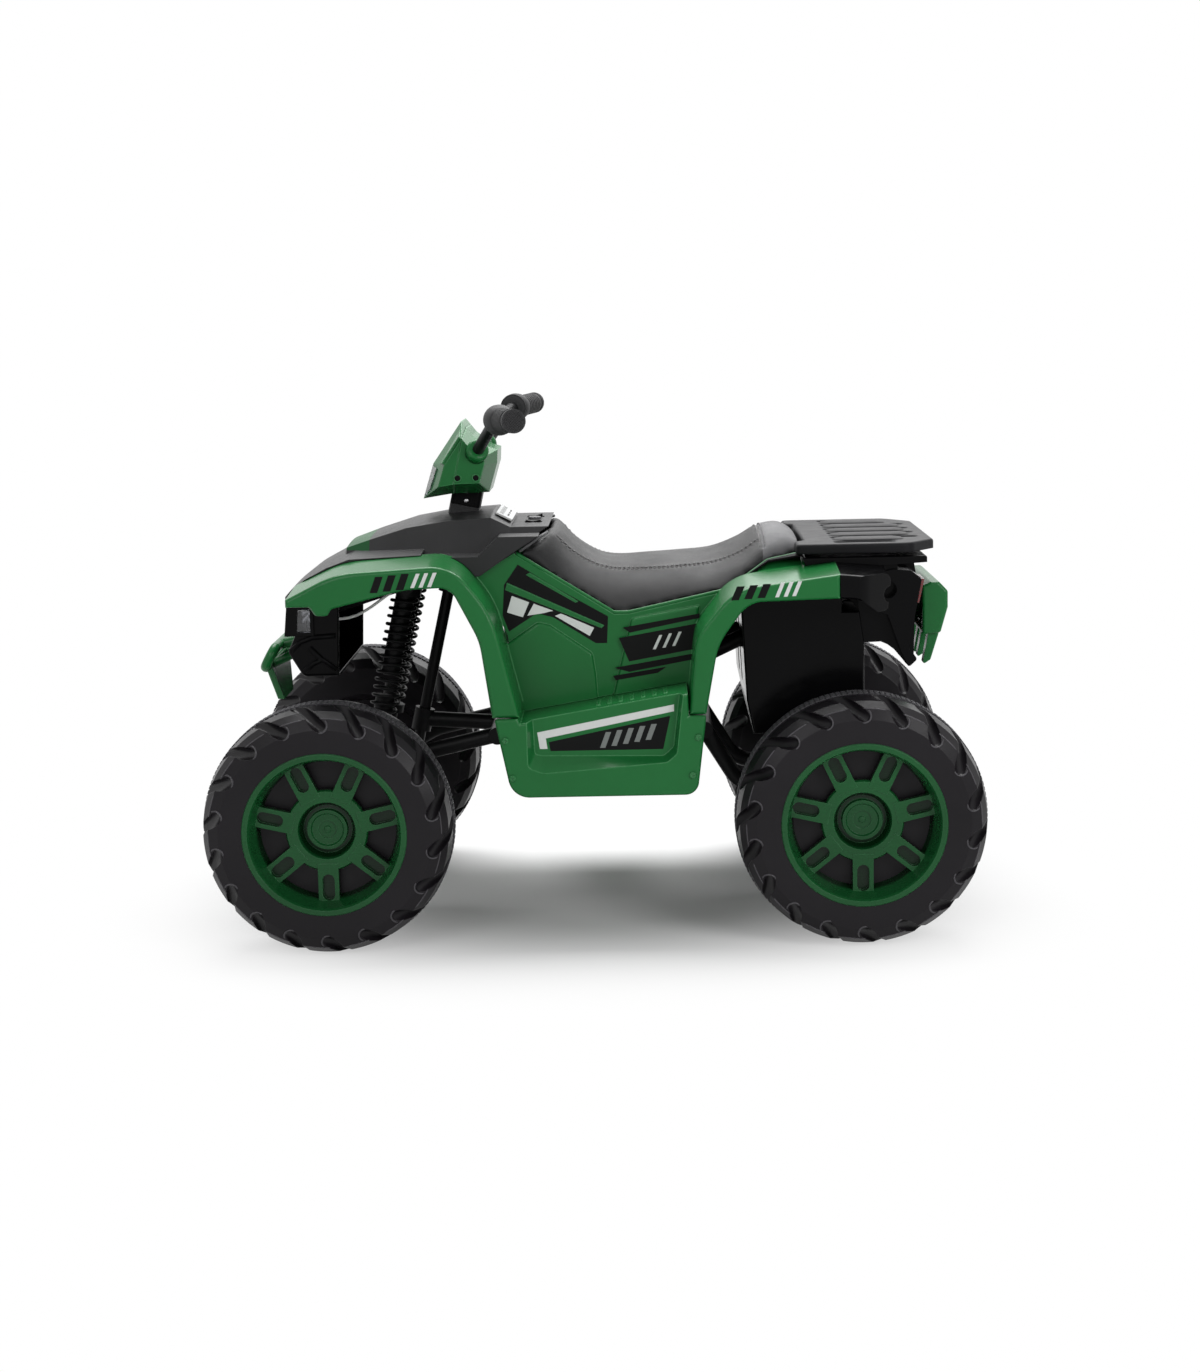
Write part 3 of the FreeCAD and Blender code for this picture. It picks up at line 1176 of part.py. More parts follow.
def tail_cover():
    """Black tail: shelf under the rack, lamp housings with their horns and the rear fender ends."""
    shelf = side_block(TAIL_SHELF, -TAIL_Y, TAIL_Y)
    shelf = soften(shelf, 3, lambda edge: on_plane(edge, 2, TAIL_TOP) and abs(edge.Vertexes[0].Y) > TAIL_Y - 1)
    solids = [shelf]
    solids.append(side_block(TAIL_CORE, -110, 110))
    for side in (-1, 1):
        solids.append(side_block(TAIL_HORN, side * 104, side * TAIL_Y))
        solids.append(side_block([(rx(14), hz(290)), (rx(60), hz(290)), (rx(60), hz(330)), (rx(14), hz(330))],
                                 side * 120, side * (TAIL_Y - 10)))
    corner = plan_block([(rx(-60), -FENDER_Y - 5), (rx(0), -FENDER_Y - 5, 50), (rx(62), -TAIL_Y - 30, 40),
                         (rx(62), -TAIL_Y + 20), (rx(-60), -TAIL_Y + 20)], hz(240), hz(340))
    within = moved(corner, -0.72 * BODY_WALL, 0.69 * BODY_WALL, 0)
    end = band_solid(TAIL_END, FENDER_RISE).common(corner)
    end = end.cut(band_hollow(TAIL_END, FENDER_RISE).common(within))
    solids.extend(both_sides(end))
    tail = join(solids)
    cuts = both_sides(tail_lamp(SEAT_GAP))
    fender = band_solid(REAR_BAND, FENDER_RISE)
    cuts.extend(both_sides(moved(fender, 0, 0, SEAT_GAP)))
    cuts.extend(both_sides(moved(fender, SEAT_GAP, 0, 0)))
    cuts.append(cross_rod(REAR_BAR_X, REAR_BAR_Z, -FENDER_Y, FENDER_Y, TUBE_R + SEAT_GAP))
    for y in (-RAIL_Y, RAIL_Y):
        cuts.append(rod(V(REAR_TOP_X, y, REAR_TOP_Z), V(REAR_BAR_X, y, REAR_BAR_Z), TUBE_R + SEAT_GAP))
    hollow = [(rx(30), hz(304)), (rx(80), hz(312)), (rx(86), hz(300)), (rx(80), hz(268)), (rx(60), hz(264)),
              (rx(46), hz(268))]
    cuts.append(side_block(hollow, -100, 100))
    return tail.cut(cuts)


def tail_lamp(gap):
    """Lens in the rear face of a lamp housing."""
    outline = [(rx(80) - gap, hz(268) - gap), (rx(88) + gap, hz(268) - gap), (rx(95) + gap, hz(300) + gap),
               (rx(83) - gap, hz(300) + gap)]
    return side_block(outline, -TAIL_Y + 6 - gap, -114 + gap)


def rear_bumper():
    """Green two-pronged guard on stays behind the tail."""
    plate = [(rx(100), hz(282), 3), (rx(112), hz(288), 6), (rx(123), hz(288), 6), (rx(135), hz(275), 6),
             (rx(135), hz(253)), (rx(125), hz(218), 4), (rx(100), hz(216), 4)]
    prong = [(rx(110), hz(222)), (rx(125), hz(222)), (rx(112), hz(180), 4), (rx(101), hz(173), 2)]
    body = side_block(plate, -108, 108)
    body = soften(body, 4, lambda edge: on_plane(edge, 1, -108) or on_plane(edge, 1, 108))
    hollow = [(rx(96), hz(278)), (rx(112), hz(284)), (rx(122), hz(284)), (rx(131), hz(274)), (rx(131), hz(254)),
              (rx(122), hz(221)), (rx(96), hz(220))]
    body = body.cut(side_block(hollow, -104, 104))
    solids = [body]
    for y in (-104, -24, 24, 104):
        inward = y * 0.86
        solids.append(side_block(prong, inward - 9, inward + 9))
    for y in (-60, 60):
        solids.append(side_block([(rx(80), hz(272)), (rx(132), hz(266)), (rx(132), hz(276)), (rx(80), hz(284))],
                                 y - 12, y + 12))
    guard = join(solids)
    return largest(guard.cut(moved(side_block(TAIL_CORE, -112, 112), SEAT_GAP, 0, 0)))


INNER = [(rx(-151), hz(298)), (rx(-143), hz(140), 10), (rx(-134), hz(94)), (rx(15), hz(94)), (rx(15), hz(217)),
         (rx(9), hz(258)), (rx(-14), hz(258)), (rx(-14), hz(298))]


def rear_inner_body():
    """Black box between the rear wheels, open above and below."""
    shell = side_block(INNER, -INNER_Y, INNER_Y)
    shell = soften(shell, 3, lambda edge: on_plane(edge, 1, -INNER_Y) or on_plane(edge, 1, INNER_Y))
    wall = BODY_WALL
    hollow = [(rx(-151) + wall, hz(310)), (rx(-143) + wall, hz(140)), (rx(-134) + wall, hz(60)),
              (rx(15) - wall, hz(60)), (rx(15) - wall, hz(217)), (rx(9) - wall, hz(258) - wall),
              (rx(-14) - wall, hz(258) - wall), (rx(-14) - wall, hz(310))]
    shell = shell.cut(side_block(hollow, -INNER_Y + wall, INNER_Y - wall))
    slots = []
    for y in (-RAIL_Y, RAIL_Y):
        slots.append(box(rx(-30), rx(30), y - 16, y + 16, hz(225), hz(310)))
        slots.append(box(rx(-160), rx(-125), y - 16, y + 16, hz(150), hz(310)))
    return largest(shell.cut(slots))


def rear_axle():
    shaft = cross_rod(REAR_X, HUB_Z, -WHEEL_Y - NUT_SEAT - 10, WHEEL_Y + NUT_SEAT + 10, AXLE_R)
    nuts = []
    for side in (-1, 1):
        nuts.append(cross_rod(REAR_X, HUB_Z, side * (WHEEL_Y + NUT_SEAT + SWING_GAP),
                              side * (WHEEL_Y + NUT_SEAT + 8), AXLE_R + 5))
    return join([shaft] + nuts)


MOTOR_X = rx(-56)
MOTOR_Z = hz(52)


def gearbox():
    """Sealed gear case on the axle, with a lobe for the motor."""
    y0 = -GEARBOX_OUT
    y1 = -GEARBOX_IN
    case = join([cross_rod(REAR_X, HUB_Z, y0, y1, GEARBOX_R), cross_rod(MOTOR_X, MOTOR_Z, y0 + 8, y1, MOTOR_R + 8),
                 side_block([(MOTOR_X - 18, MOTOR_Z - 18), (MOTOR_X + 18, MOTOR_Z + 18), (rx(34), hz(34)),
                             (rx(-34), hz(-34))], y0 + 8, y1)])
    return case.cut(cross_rod(REAR_X, HUB_Z, y0 - 5, y1 + 5, AXLE_R + FIT_GAP))


def motor():
    can = cross_rod(MOTOR_X, MOTOR_Z, -GEARBOX_IN + SEAT_GAP, -GEARBOX_IN + SEAT_GAP + MOTOR_L, MOTOR_R)
    return can.fuse(cross_rod(MOTOR_X, MOTOR_Z, -GEARBOX_IN + MOTOR_L, -GEARBOX_IN + MOTOR_L + 6, 6))


# Electrics
TRAY_X0 = UPRIGHT_X + TUBE_R + 1
TRAY_X1 = REAR_LEG_X - TUBE_R - 1


def battery_tray():
    low = RAIL_FOOT
    half = RAIL_Y + 1
    tray = box(TRAY_X0, TRAY_X1, -half, half, low, low + 24)
    return tray.cut(box(TRAY_X0 + 3, TRAY_X1 - 3, -half + 3, half - 3, low + 3, low + 30))


def battery():
    x1 = TRAY_X1 - 5
    z = RAIL_FOOT + 3 + 0.3
    block = box(x1 - BATTERY_L, x1, -BATTERY_W / 2, BATTERY_W / 2, z, z + BATTERY_H)
    block = soften(block, 3, lambda edge: on_plane(edge, 2, z + BATTERY_H))
    posts = []
    for y in (-18, 18):
        posts.append(box(x1 - 16, x1 - 8, y - 4, y + 4, z + BATTERY_H - 1, z + BATTERY_H + 6))
    return join([block] + posts)


def control_module():
    x0 = UPRIGHT_X - 35
    z = TOWER_Z + TUBE_R + 0.3
    case = box(x0 - 60, x0, -30, 30, z, z + 22)
    case = soften(case, 2, lambda edge: on_plane(edge, 2, z + 22))
    feet = []
    for y in (-RAIL_Y, RAIL_Y):
        feet.append(box(x0 - 50, x0 - 10, min(y, y * 0.5), max(y, y * 0.5), z, z + 3))
    return join([case] + feet)


CHARGE_X = rx(-260)
CHARGE_Z = hz(222)


def charge_socket():
    """Round socket in the right-hand body wall."""
    face = WALL_Y + RELIEF + SEAT_GAP
    flange = cross_rod(CHARGE_X, CHARGE_Z, face, face + 3, 13)
    body = cross_rod(CHARGE_X, CHARGE_Z, WALL_Y - 14, face + 1, 9)
    bore = cross_rod(CHARGE_X, CHARGE_Z, face + 3 - CHARGE_BORE_L, face + 4, CHARGE_BORE_R)
    return flange.fuse(body).cut(bore)


def charge_hole():
    return cross_rod(CHARGE_X, CHARGE_Z, WALL_Y - 10, WALL_Y + 10, 9 + SEAT_GAP)


# Pedal, set out on the sloping ledge of the right footboard
PEDAL_X = fx(330)
PEDAL_Y = 222.0
PEDAL_RISE = 9.0
PEDAL_PIN_R = 3.0


def ledge_tilt():
    return math.degrees(math.atan2(LEDGE_REAR[1] - LEDGE_FRONT[1], LEDGE_REAR[0] - LEDGE_FRONT[0]))


def pedal_pivot():
    return V(PEDAL_X, 0, ledge_height(PEDAL_X) + PEDAL_RISE)


def accelerator_pedal():
    pivot = pedal_pivot()
    half = PEDAL_W / 2
    outline = [(pivot.x - PEDAL_L, pivot.z + 1, 2), (pivot.x - PEDAL_L, pivot.z + 7, 2),
               (pivot.x + 4, pivot.z + 5, 2), (pivot.x + 4, pivot.z - 4, 2), (pivot.x - 6, pivot.z - 4, 2)]
    plate = side_block(outline, PEDAL_Y - half, PEDAL_Y + half)
    ribs = []
    for index in range(5):
        x = pivot.x - PEDAL_L + 8 + 10 * index
        ribs.append(box(x, x + 4, PEDAL_Y - half + 6, PEDAL_Y + half - 6, pivot.z + 4, pivot.z + 8.5))
    pin = cross_rod(pivot.x, pivot.z, PEDAL_Y - half - 8, PEDAL_Y + half + 8, PEDAL_PIN_R)
    pedal = join([plate, pin] + ribs)
    pedal.rotate(pivot, V(0, 1, 0), PEDAL_TILT - ledge_tilt())
    return pedal


def pedal_lugs():
    """Ears on the ledge that carry the pedal's pin."""
    pivot = pedal_pivot()
    lugs = []
    for side in (-1, 1):
        y = PEDAL_Y + side * (PEDAL_W / 2 + 1)
        outline = [(pivot.x - 8, pivot.z - PEDAL_RISE - 3.4), (pivot.x - 7, pivot.z + 6, 5),
                   (pivot.x + 7, pivot.z + 6, 5), (pivot.x + 8, pivot.z - PEDAL_RISE - 1)]
        lug = side_block(outline, y, y + side * 6)
        lugs.append(lug.cut(cross_rod(pivot.x, pivot.z, y - 10, y + 10, PEDAL_PIN_R + FIT_GAP)))
    return lugs


# Screws that hold the footboards and the rear box, heads outward
SCREW_PLACES = [(fx(235), hz(110), FOOT_Y), (fx(243), hz(60), FOOT_Y), (rx(-211), hz(110), FOOT_Y),
                (rx(-219), hz(60), FOOT_Y)]


def screw(x, z, y):
    head = cross_rod(x, z, -y - 0.3 - 2.6, -y - 0.3, SCREW_R)
    head = soften(head, 1.2, lambda edge: on_plane(edge, 1, -y - 2.9))
    shank = cross_rod(x, z, -y - 1, -y + 9, 2)
    cross = [box(x - 2.6, x + 2.6, -y - 4, -y - 1.9, z - 0.5, z + 0.5),
             box(x - 0.5, x + 0.5, -y - 4, -y - 1.9, z - 2.6, z + 2.6)]
    return head.fuse(shank).cut(cross)


def body_screws():
    screws = []
    for x, z, y in SCREW_PLACES:
        screws.extend(both_sides(screw(x, z, y)))
    return Part.makeCompound(screws)


def screw_holes():
    return [cross_rod(x, z, -y - 1, -y + 12, 2.2) for x, z, y in SCREW_PLACES]


WIRE_R = 2.0
WIRE_ROUTE = [V(fx(-27.6), -127, hz(257)), V(fx(-2), -126, hz(255)), V(fx(24), -119, hz(257)),
              V(fx(47), -114, hz(269)), V(fx(66), -111, hz(283)), V(fx(84), -107, hz(294)),
              V(fx(93), -93.2, hz(297.5))]


def headlight_wire():
    """Lead from the headlight to the tower, with bends as large as its runs allow."""
    corners = []
    for index, point in enumerate(WIRE_ROUTE):
        if index in (0, len(WIRE_ROUTE) - 1):
            corners.append((point, 0))
            continue
        before = WIRE_ROUTE[index - 1] - point
        after = WIRE_ROUTE[index + 1] - point
        turn = math.pi - before.getAngle(after)
        radius = 0.45 * min(before.Length, after.Length) / math.tan(turn / 2)
        print("headlight wire bend radius %.1f mm" % radius)
        corners.append((point, radius))
    return bent_rod(corners, WIRE_R)


def build():
    nodes = wheel_set()
    nodes["main_frame"] = main_frame()
    nodes["front_tower"] = front_tower()
    nodes["rear_frame"] = rear_frame()
    panel = side_panel()
    nodes["left_side_panel"] = panel
    nodes["right_side_panel"] = mirrored(panel).cut(charge_hole())
    board = footboard().cut(screw_holes())
    nodes["left_footboard"] = board
    nodes["right_footboard"] = join([mirrored(board)] + pedal_lugs())
    nodes["accelerator_pedal"] = accelerator_pedal()
    nodes["hood"] = hood()
    nodes["dash_panel"] = dash_panel()
    nodes["start_button"] = start_button()
    nodes["direction_switch"] = rocker(-ROCKER_Y, 0)
    nodes["speed_switch"] = rocker(ROCKER_Y, -ROCKER_TILT)
    nodes["switch_housings"] = switch_housings()
    nodes["front_fascia"] = front_fascia()
    nodes["headlight_lenses"] = Part.makeCompound(both_sides(headlight_lens()))
    nodes["front_bumper"] = front_bumper()
    nodes["headlight_wire"] = headlight_wire()
    nodes["seat_pad"] = seat_pad()
    nodes["seat_base"] = seat_base()
    nodes["rear_rack"] = rear_rack()
    nodes["tail_cover"] = tail_cover()
    nodes["tail_light_lenses"] = Part.makeCompound(both_sides(tail_lamp(0)))
    nodes["rear_bumper"] = rear_bumper()
    nodes["rear_inner_body"] = rear_inner_body()
    nodes["front_springs"] = front_springs()
    nodes["rear_springs"] = rear_springs()
    nodes["front_swing_arm"] = front_swing_arm()
    nodes["rear_swing_arm"] = rear_swing_arm()
    nodes["kingpins"] = Part.makeCompound([kingpin(-KINGPIN_Y), kingpin(KINGPIN_Y)])
    nodes["left_knuckle"] = knuckle(-1)
    nodes["right_knuckle"] = knuckle(1)
    nodes["tie_bar"] = tie_bar()
    nodes["steering_column"] = steering_column()
    nodes["handlebar"] = handlebar()
    left_grip = grip()
    nodes["left_grip"] = left_grip
    nodes["right_grip"] = mirrored(left_grip)
    nodes["bar_cover_front"], nodes["bar_cover_rear"] = bar_covers()
    nodes["column_cover"] = column_cover()
    nodes["rear_axle"] = rear_axle()
    nodes["gearboxes"] = Part.makeCompound(both_sides(gearbox()))
    nodes["motors"] = Part.makeCompound(both_sides(motor()))
    nodes["battery_tray"] = battery_tray()
    nodes["battery"] = battery()
    nodes["control_module"] = control_module()
    nodes["charge_socket"] = charge_socket()
    nodes["body_screws"] = body_screws()
    return nodes


def save(nodes):
    os.makedirs("parts", exist_ok=True)
    for name, shape in nodes.items():
        solids = shape.Solids
        kept = solids[0] if len(solids) == 1 else Part.makeCompound(solids)
        kept.exportStep("parts/%s.step" % name)
        state = "valid" if kept.isValid() else "NOT VALID"
        print("%-26s %2d solids %9.1f cm3 %s" % (name, len(solids), kept.Volume / 1000, state))


save(build())
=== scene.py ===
import json
from math import cos, exp, pi, radians, sin

import bmesh
import bpy
from mathutils import Matrix, Vector
from mathutils.bvhtree import BVHTree
from mathutils.kdtree import KDTree

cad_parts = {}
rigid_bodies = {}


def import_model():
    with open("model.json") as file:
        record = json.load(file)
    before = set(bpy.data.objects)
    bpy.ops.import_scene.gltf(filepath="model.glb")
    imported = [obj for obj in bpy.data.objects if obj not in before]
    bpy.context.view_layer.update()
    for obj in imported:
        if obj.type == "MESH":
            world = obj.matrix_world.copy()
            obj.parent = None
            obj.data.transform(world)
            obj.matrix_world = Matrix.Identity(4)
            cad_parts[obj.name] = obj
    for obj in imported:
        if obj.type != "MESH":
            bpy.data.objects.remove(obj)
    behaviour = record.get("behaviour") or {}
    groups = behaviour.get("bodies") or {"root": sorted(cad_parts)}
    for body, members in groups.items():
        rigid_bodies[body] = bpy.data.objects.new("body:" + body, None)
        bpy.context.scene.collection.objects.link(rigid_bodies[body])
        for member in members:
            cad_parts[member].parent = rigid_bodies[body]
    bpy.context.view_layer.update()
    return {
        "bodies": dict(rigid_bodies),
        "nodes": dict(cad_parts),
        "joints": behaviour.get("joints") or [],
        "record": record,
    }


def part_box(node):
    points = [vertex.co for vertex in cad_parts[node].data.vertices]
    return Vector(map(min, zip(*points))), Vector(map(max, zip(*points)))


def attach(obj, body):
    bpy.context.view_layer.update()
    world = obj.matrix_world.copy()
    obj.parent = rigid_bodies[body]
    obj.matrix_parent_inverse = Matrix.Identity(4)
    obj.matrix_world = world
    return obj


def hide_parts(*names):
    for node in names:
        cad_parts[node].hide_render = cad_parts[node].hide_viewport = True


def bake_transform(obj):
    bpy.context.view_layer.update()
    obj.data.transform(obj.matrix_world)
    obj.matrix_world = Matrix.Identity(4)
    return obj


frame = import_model()
nodes = frame["nodes"]
scene = bpy.context.scene
scene.view_settings.view_transform = "Standard"

# Only what belongs to the part stays in the scene
kept = set(nodes.values()) | set(frame["bodies"].values())
for item in list(bpy.data.objects):
    if item not in kept:
        bpy.data.objects.remove(item)

# Places, in millimetres from the hubs
MM = 0.001
JOINTS = {joint["name"]: joint for joint in frame["joints"]}
FRONT_HUB = Vector(JOINTS["front_left_roll"]["pos_m"]) / MM
REAR_HUB = Vector(JOINTS["rear_left_roll"]["pos_m"]) / MM
STEER_UP = Vector(JOINTS["steering_turn"]["axis"]).normalized()
STEER_POINT = Vector(JOINTS["steering_turn"]["pos_m"]) / MM
SIDES = (("left", 1), ("right", -1))


def fx(offset):
    """Place behind the front hubs."""
    return FRONT_HUB.x + offset


def rx(offset):
    """Place behind the rear hubs."""
    return REAR_HUB.x + offset


def hz(offset):
    """Height above the hubs."""
    return FRONT_HUB.z + offset


def front_line(*corners):
    """Line in the side view, from offsets to the front hub."""
    return [(fx(x), hz(z)) for x, z in corners]


def rear_line(*corners):
    """Line in the side view, from offsets to the rear hub."""
    return [(rx(x), hz(z)) for x, z in corners]


def tone(red, green, blue):
    """Linear colour from screen values of 0 to 255."""
    linear = []
    for value in (red, green, blue):
        share = value / 255
        linear.append(share / 12.92 if share <= 0.04045 else ((share + 0.055) / 1.055) ** 2.4)
    return (*linear, 1.0)


def scaled(colour, share):
    return (colour[0] * share, colour[1] * share, colour[2] * share, 1.0)


def placed(name, data):
    """New object of some data, in the scene."""
    made = bpy.data.objects.new(name, data)
    scene.collection.objects.link(made)
    return made


# Camera at the photograph's place
def set_camera():
    place = (0.0697, -3.3292, 0.8283)
    yaw = radians(-1.0989)
    pitch = radians(8.9887)
    roll = radians(-1.2867)
    focal_px = 2379.26
    frame_px = 1372
    ahead = Vector((sin(yaw) * cos(pitch), cos(yaw) * cos(pitch), -sin(pitch)))
    level = Vector((cos(yaw), -sin(yaw), 0))
    above = level.cross(ahead)
    right = level * cos(roll) + above * sin(roll)
    up = above * cos(roll) - level * sin(roll)
    data = bpy.data.cameras.new("camera")
    data.sensor_width = 36
    data.lens = data.sensor_width * focal_px / frame_px
    data.clip_end = 60
    camera = placed("camera", data)
    turn = Matrix((right, up, -ahead)).transposed().to_4x4()
    camera.matrix_world = Matrix.Translation(place) @ turn
    scene.camera = camera


set_camera()


# Node material helpers
def new_look(name):
    """Material with its tree, one shader and the coordinates of the object it is on."""
    look = bpy.data.materials.new(name)
    look.use_nodes = True
    tree = look.node_tree
    tree.nodes.clear()
    out = tree.nodes.new("ShaderNodeOutputMaterial")
    shader = tree.nodes.new("ShaderNodeBsdfPrincipled")
    tree.links.new(shader.outputs[0], out.inputs["Surface"])
    return look, tree, shader, add(tree, "TexCoord", {}, "Object")


def put(tree, socket, value):
    """Link a socket to another one, or set its constant value."""
    if isinstance(value, bpy.types.NodeSocket):
        tree.links.new(value, socket)
    else:
        socket.default_value = value


def fill(tree, node, inputs):
    for name, value in inputs.items():
        put(tree, node.inputs[name], value)


def add(tree, kind, inputs, out=0, **settings):
    """New shader node with its settings and inputs; gives back one of its outputs."""
    node = tree.nodes.new("ShaderNode" + kind)
    for name, value in settings.items():
        setattr(node, name, value)
    fill(tree, node, inputs)
    return node.outputs[out]


def calc(tree, operation, first, second=0.0):
    return add(tree, "Math", {0: first, 1: second}, operation=operation)


def spread(tree, value, low, high, new_low=0.0, new_high=1.0, **settings):
    """Map a value from one range to another, clamped."""
    return add(tree, "MapRange", {"Value": value, "From Min": low, "From Max": high, "To Min": new_low,
                                  "To Max": new_high}, **settings)


def varied(tree, cloud, low=0.0, high=1.0):
    """Noise spread over a range; nearly all its values lie between 0.3 and 0.7."""
    return spread(tree, cloud, 0.3, 0.7, low, high)


def mixed(tree, share, first, second, blend="MIX"):
    """Mix of two colours: inputs 6 and 7 of the node, and its output 2."""
    return add(tree, "Mix", {"Factor": share, 6: first, 7: second}, 2, data_type="RGBA", blend_type=blend)


def noise(tree, place, scale, detail=3.0, roughness=0.55):
    return add(tree, "TexNoise", {"Vector": place, "Scale": scale, "Detail": detail, "Roughness": roughness})


def cells(tree, place, scale, out="Distance", **settings):
    return add(tree, "TexVoronoi", {"Vector": place, "Scale": scale}, out, **settings)


def stretched(tree, place, x, y, z):
    return add(tree, "Mapping", {"Vector": place, "Scale": (x, y, z)})


def split_place(tree, place):
    """The coordinates of a place, as sockets by axis."""
    node = tree.nodes.new("ShaderNodeSeparateXYZ")
    put(tree, node.inputs[0], place)
    return node.outputs


def rounded(tree, radius_mm, samples=4):
    """Normal that rounds off the sharp edges."""
    return add(tree, "Bevel", {"Radius": radius_mm * MM}, samples=samples)


def bumped(tree, height, strength, depth, normal=None):
    """Normal of a relief with a depth in metres, over another normal if one is given."""
    inputs = {"Height": height, "Strength": strength, "Distance": depth}
    if normal is not None:
        inputs["Normal"] = normal
    return add(tree, "Bump", inputs)


def edge_share(tree, soft, width):
    """How near a sharp edge a point is, from how far the rounded normal leaves the true one."""
    true_normal = add(tree, "NewGeometry", {}, "Normal")
    same = add(tree, "VectorMath", {0: soft, 1: true_normal}, "Value", operation="DOT_PRODUCT")
    return spread(tree, calc(tree, "SUBTRACT", 1.0, same), 0.01, width)


def moulded(name, colour, rough, grain, round_mm=1.2, coat=0.0, specular=0.2, flake=0.0, edge_wear_and_highlight=0.12, vary=0.14,
            blotch=0.5, worn=None, patch=None, patch_colour=None):
    """Moulded plastic: cloudy colour, fine grain, dull patches, rounded edges mixed toward a paler colour:
    light wear, and at high strength a painted highlight.
    """
    look, tree, shader, place = new_look(name)
    cloud = varied(tree, noise(tree, place, scale=9.0, detail=4.0))
    body = mixed(tree, cloud, scaled(colour, 1 - vary), scaled(colour, 1 + vary))
    if patch:
        body = mixed(tree, patch(tree, place), body, patch_colour)
    if flake:
        flakes = cells(tree, place, 1500.0, "Color")
        shine = add(tree, "SeparateColor", {"Color": flakes})
        body = mixed(tree, spread(tree, shine, 0.55, 1.0, 0.0, flake), body, scaled(colour, 2.4))
    patches = noise(tree, place, scale=55.0, detail=4.0, roughness=0.65)
    soft = rounded(tree, round_mm, samples=6)
    # Edges go paler by the edge share times this strength: at low strength wear, at high strength a painted
    # highlight along the edges.
    edge = calc(tree, "MULTIPLY", edge_share(tree, soft, 0.14), spread(tree, patches, 0.3, 0.6, 0.6, 1.0))
    body = mixed(tree, calc(tree, "MULTIPLY", edge, edge_wear_and_highlight), body, worn or scaled(colour, 1.9))
    streaks = noise(tree, stretched(tree, place, 1.0, 1.0, 7.0), scale=38.0)
    dull = calc(tree, "ADD", varied(tree, patches, -0.06 * blotch, 0.06 * blotch),
                varied(tree, streaks, -0.04 * blotch, 0.04 * blotch))
    fine = noise(tree, place, scale=1300.0, detail=2.0)
    fill(tree, shader, {
        "Base Color": body, "Roughness": calc(tree, "ADD", dull, rough),
        "Normal": bumped(tree, fine, grain, 0.0004, soft), "Specular IOR Level": specular,
        "Coat Weight": coat, "Coat Roughness": 0.12
    })
    return look


def rubber(name, colour, rough, pit_scale=700.0):
    """Soft rubber: pitted, dusty in places and paler on the edges."""
    look, tree, shader, place = new_look(name)
    dust = noise(tree, place, scale=24.0, detail=5.0, roughness=0.65)
    body = mixed(tree, spread(tree, dust, 0.4, 0.75, 0.0, 0.7), colour, scaled(colour, 1.7))
    soft = rounded(tree, 1.0)
    edge = calc(tree, "MULTIPLY", edge_share(tree, soft, 0.3), 0.35)
    fill(tree, shader, {
        "Base Color": mixed(tree, edge, body, scaled(colour, 2.2)),
        "Roughness": varied(tree, dust, rough - 0.06, rough + 0.1),
        "Normal": bumped(tree, cells(tree, place, pit_scale), 0.25, 0.0005, soft),
        "Specular IOR Level": 0.25
    })
    return look


def leather(name, colour, cell_scale):
    """Grained seat vinyl: cells with fine creases between them, and a little sheen."""
    look, tree, shader, place = new_look(name)
    shift = add(tree, "TexNoise", {"Vector": place, "Scale": 160.0}, "Color")
    wander = mixed(tree, 0.0016, place, shift, "ADD")
    crease = spread(tree, cells(tree, wander, cell_scale, feature="DISTANCE_TO_EDGE"), 0.0, 0.09)
    cloud = varied(tree, noise(tree, place, scale=13.0, detail=5.0, roughness=0.6))
    body = mixed(tree, cloud, scaled(colour, 0.8), scaled(colour, 1.2))
    body = mixed(tree, spread(tree, crease, 0.0, 1.0, 0.35, 0.0), body, scaled(colour, 0.45))
    worn = noise(tree, place, scale=30.0, detail=4.0)
    rough = calc(tree, "ADD", spread(tree, crease, 0.0, 1.0, 0.14, 0.0), varied(tree, worn, 0.42, 0.54))
    pores = noise(tree, place, scale=1700.0, detail=2.0)
    height = calc(tree, "ADD", crease, calc(tree, "MULTIPLY", pores, 0.35))
    fill(tree, shader, {
        "Base Color": body, "Roughness": rough, "Normal": bumped(tree, height, 0.35, 0.0005),
        "Specular IOR Level": 0.2, "Sheen Weight": 0.05
    })
    return look


def metal(name, colour, rough, line_scale):
    """Bare or plated steel: drawn lines and spots."""
    look, tree, shader, place = new_look(name)
    drawn = noise(tree, stretched(tree, place, 1.0, 0.06, 1.0), line_scale, detail=4.0)
    spots = noise(tree, place, scale=80.0, detail=5.0, roughness=0.7)
    body = mixed(tree, spread(tree, spots, 0.35, 0.7), scaled(colour, 0.75), scaled(colour, 1.12))
    fill(tree, shader, {
        "Base Color": body, "Roughness": varied(tree, spots, rough - 0.08, rough + 0.12),
        "Normal": bumped(tree, drawn, 0.15, 0.0003, rounded(tree, 0.6)), "Metallic": 1.0
    })
    return look


def lens(name, colour, see_through):
    """Lamp plastic with moulded flutes inside."""
    look, tree, shader, place = new_look(name)
    flutes = add(tree, "TexWave", {"Vector": place, "Scale": 90.0, "Distortion": 0.3}, "Fac",
                 bands_direction="Y")
    cloud = noise(tree, place, scale=40.0)
    fill(tree, shader, {
        "Base Color": mixed(tree, flutes, scaled(colour, 0.7), colour),
        "Roughness": varied(tree, cloud, 0.06, 0.16),
        "Normal": bumped(tree, flutes, 0.3, 0.001, rounded(tree, 1.5)),
        "Transmission Weight": see_through, "Coat Weight": 0.4
    })
    return look


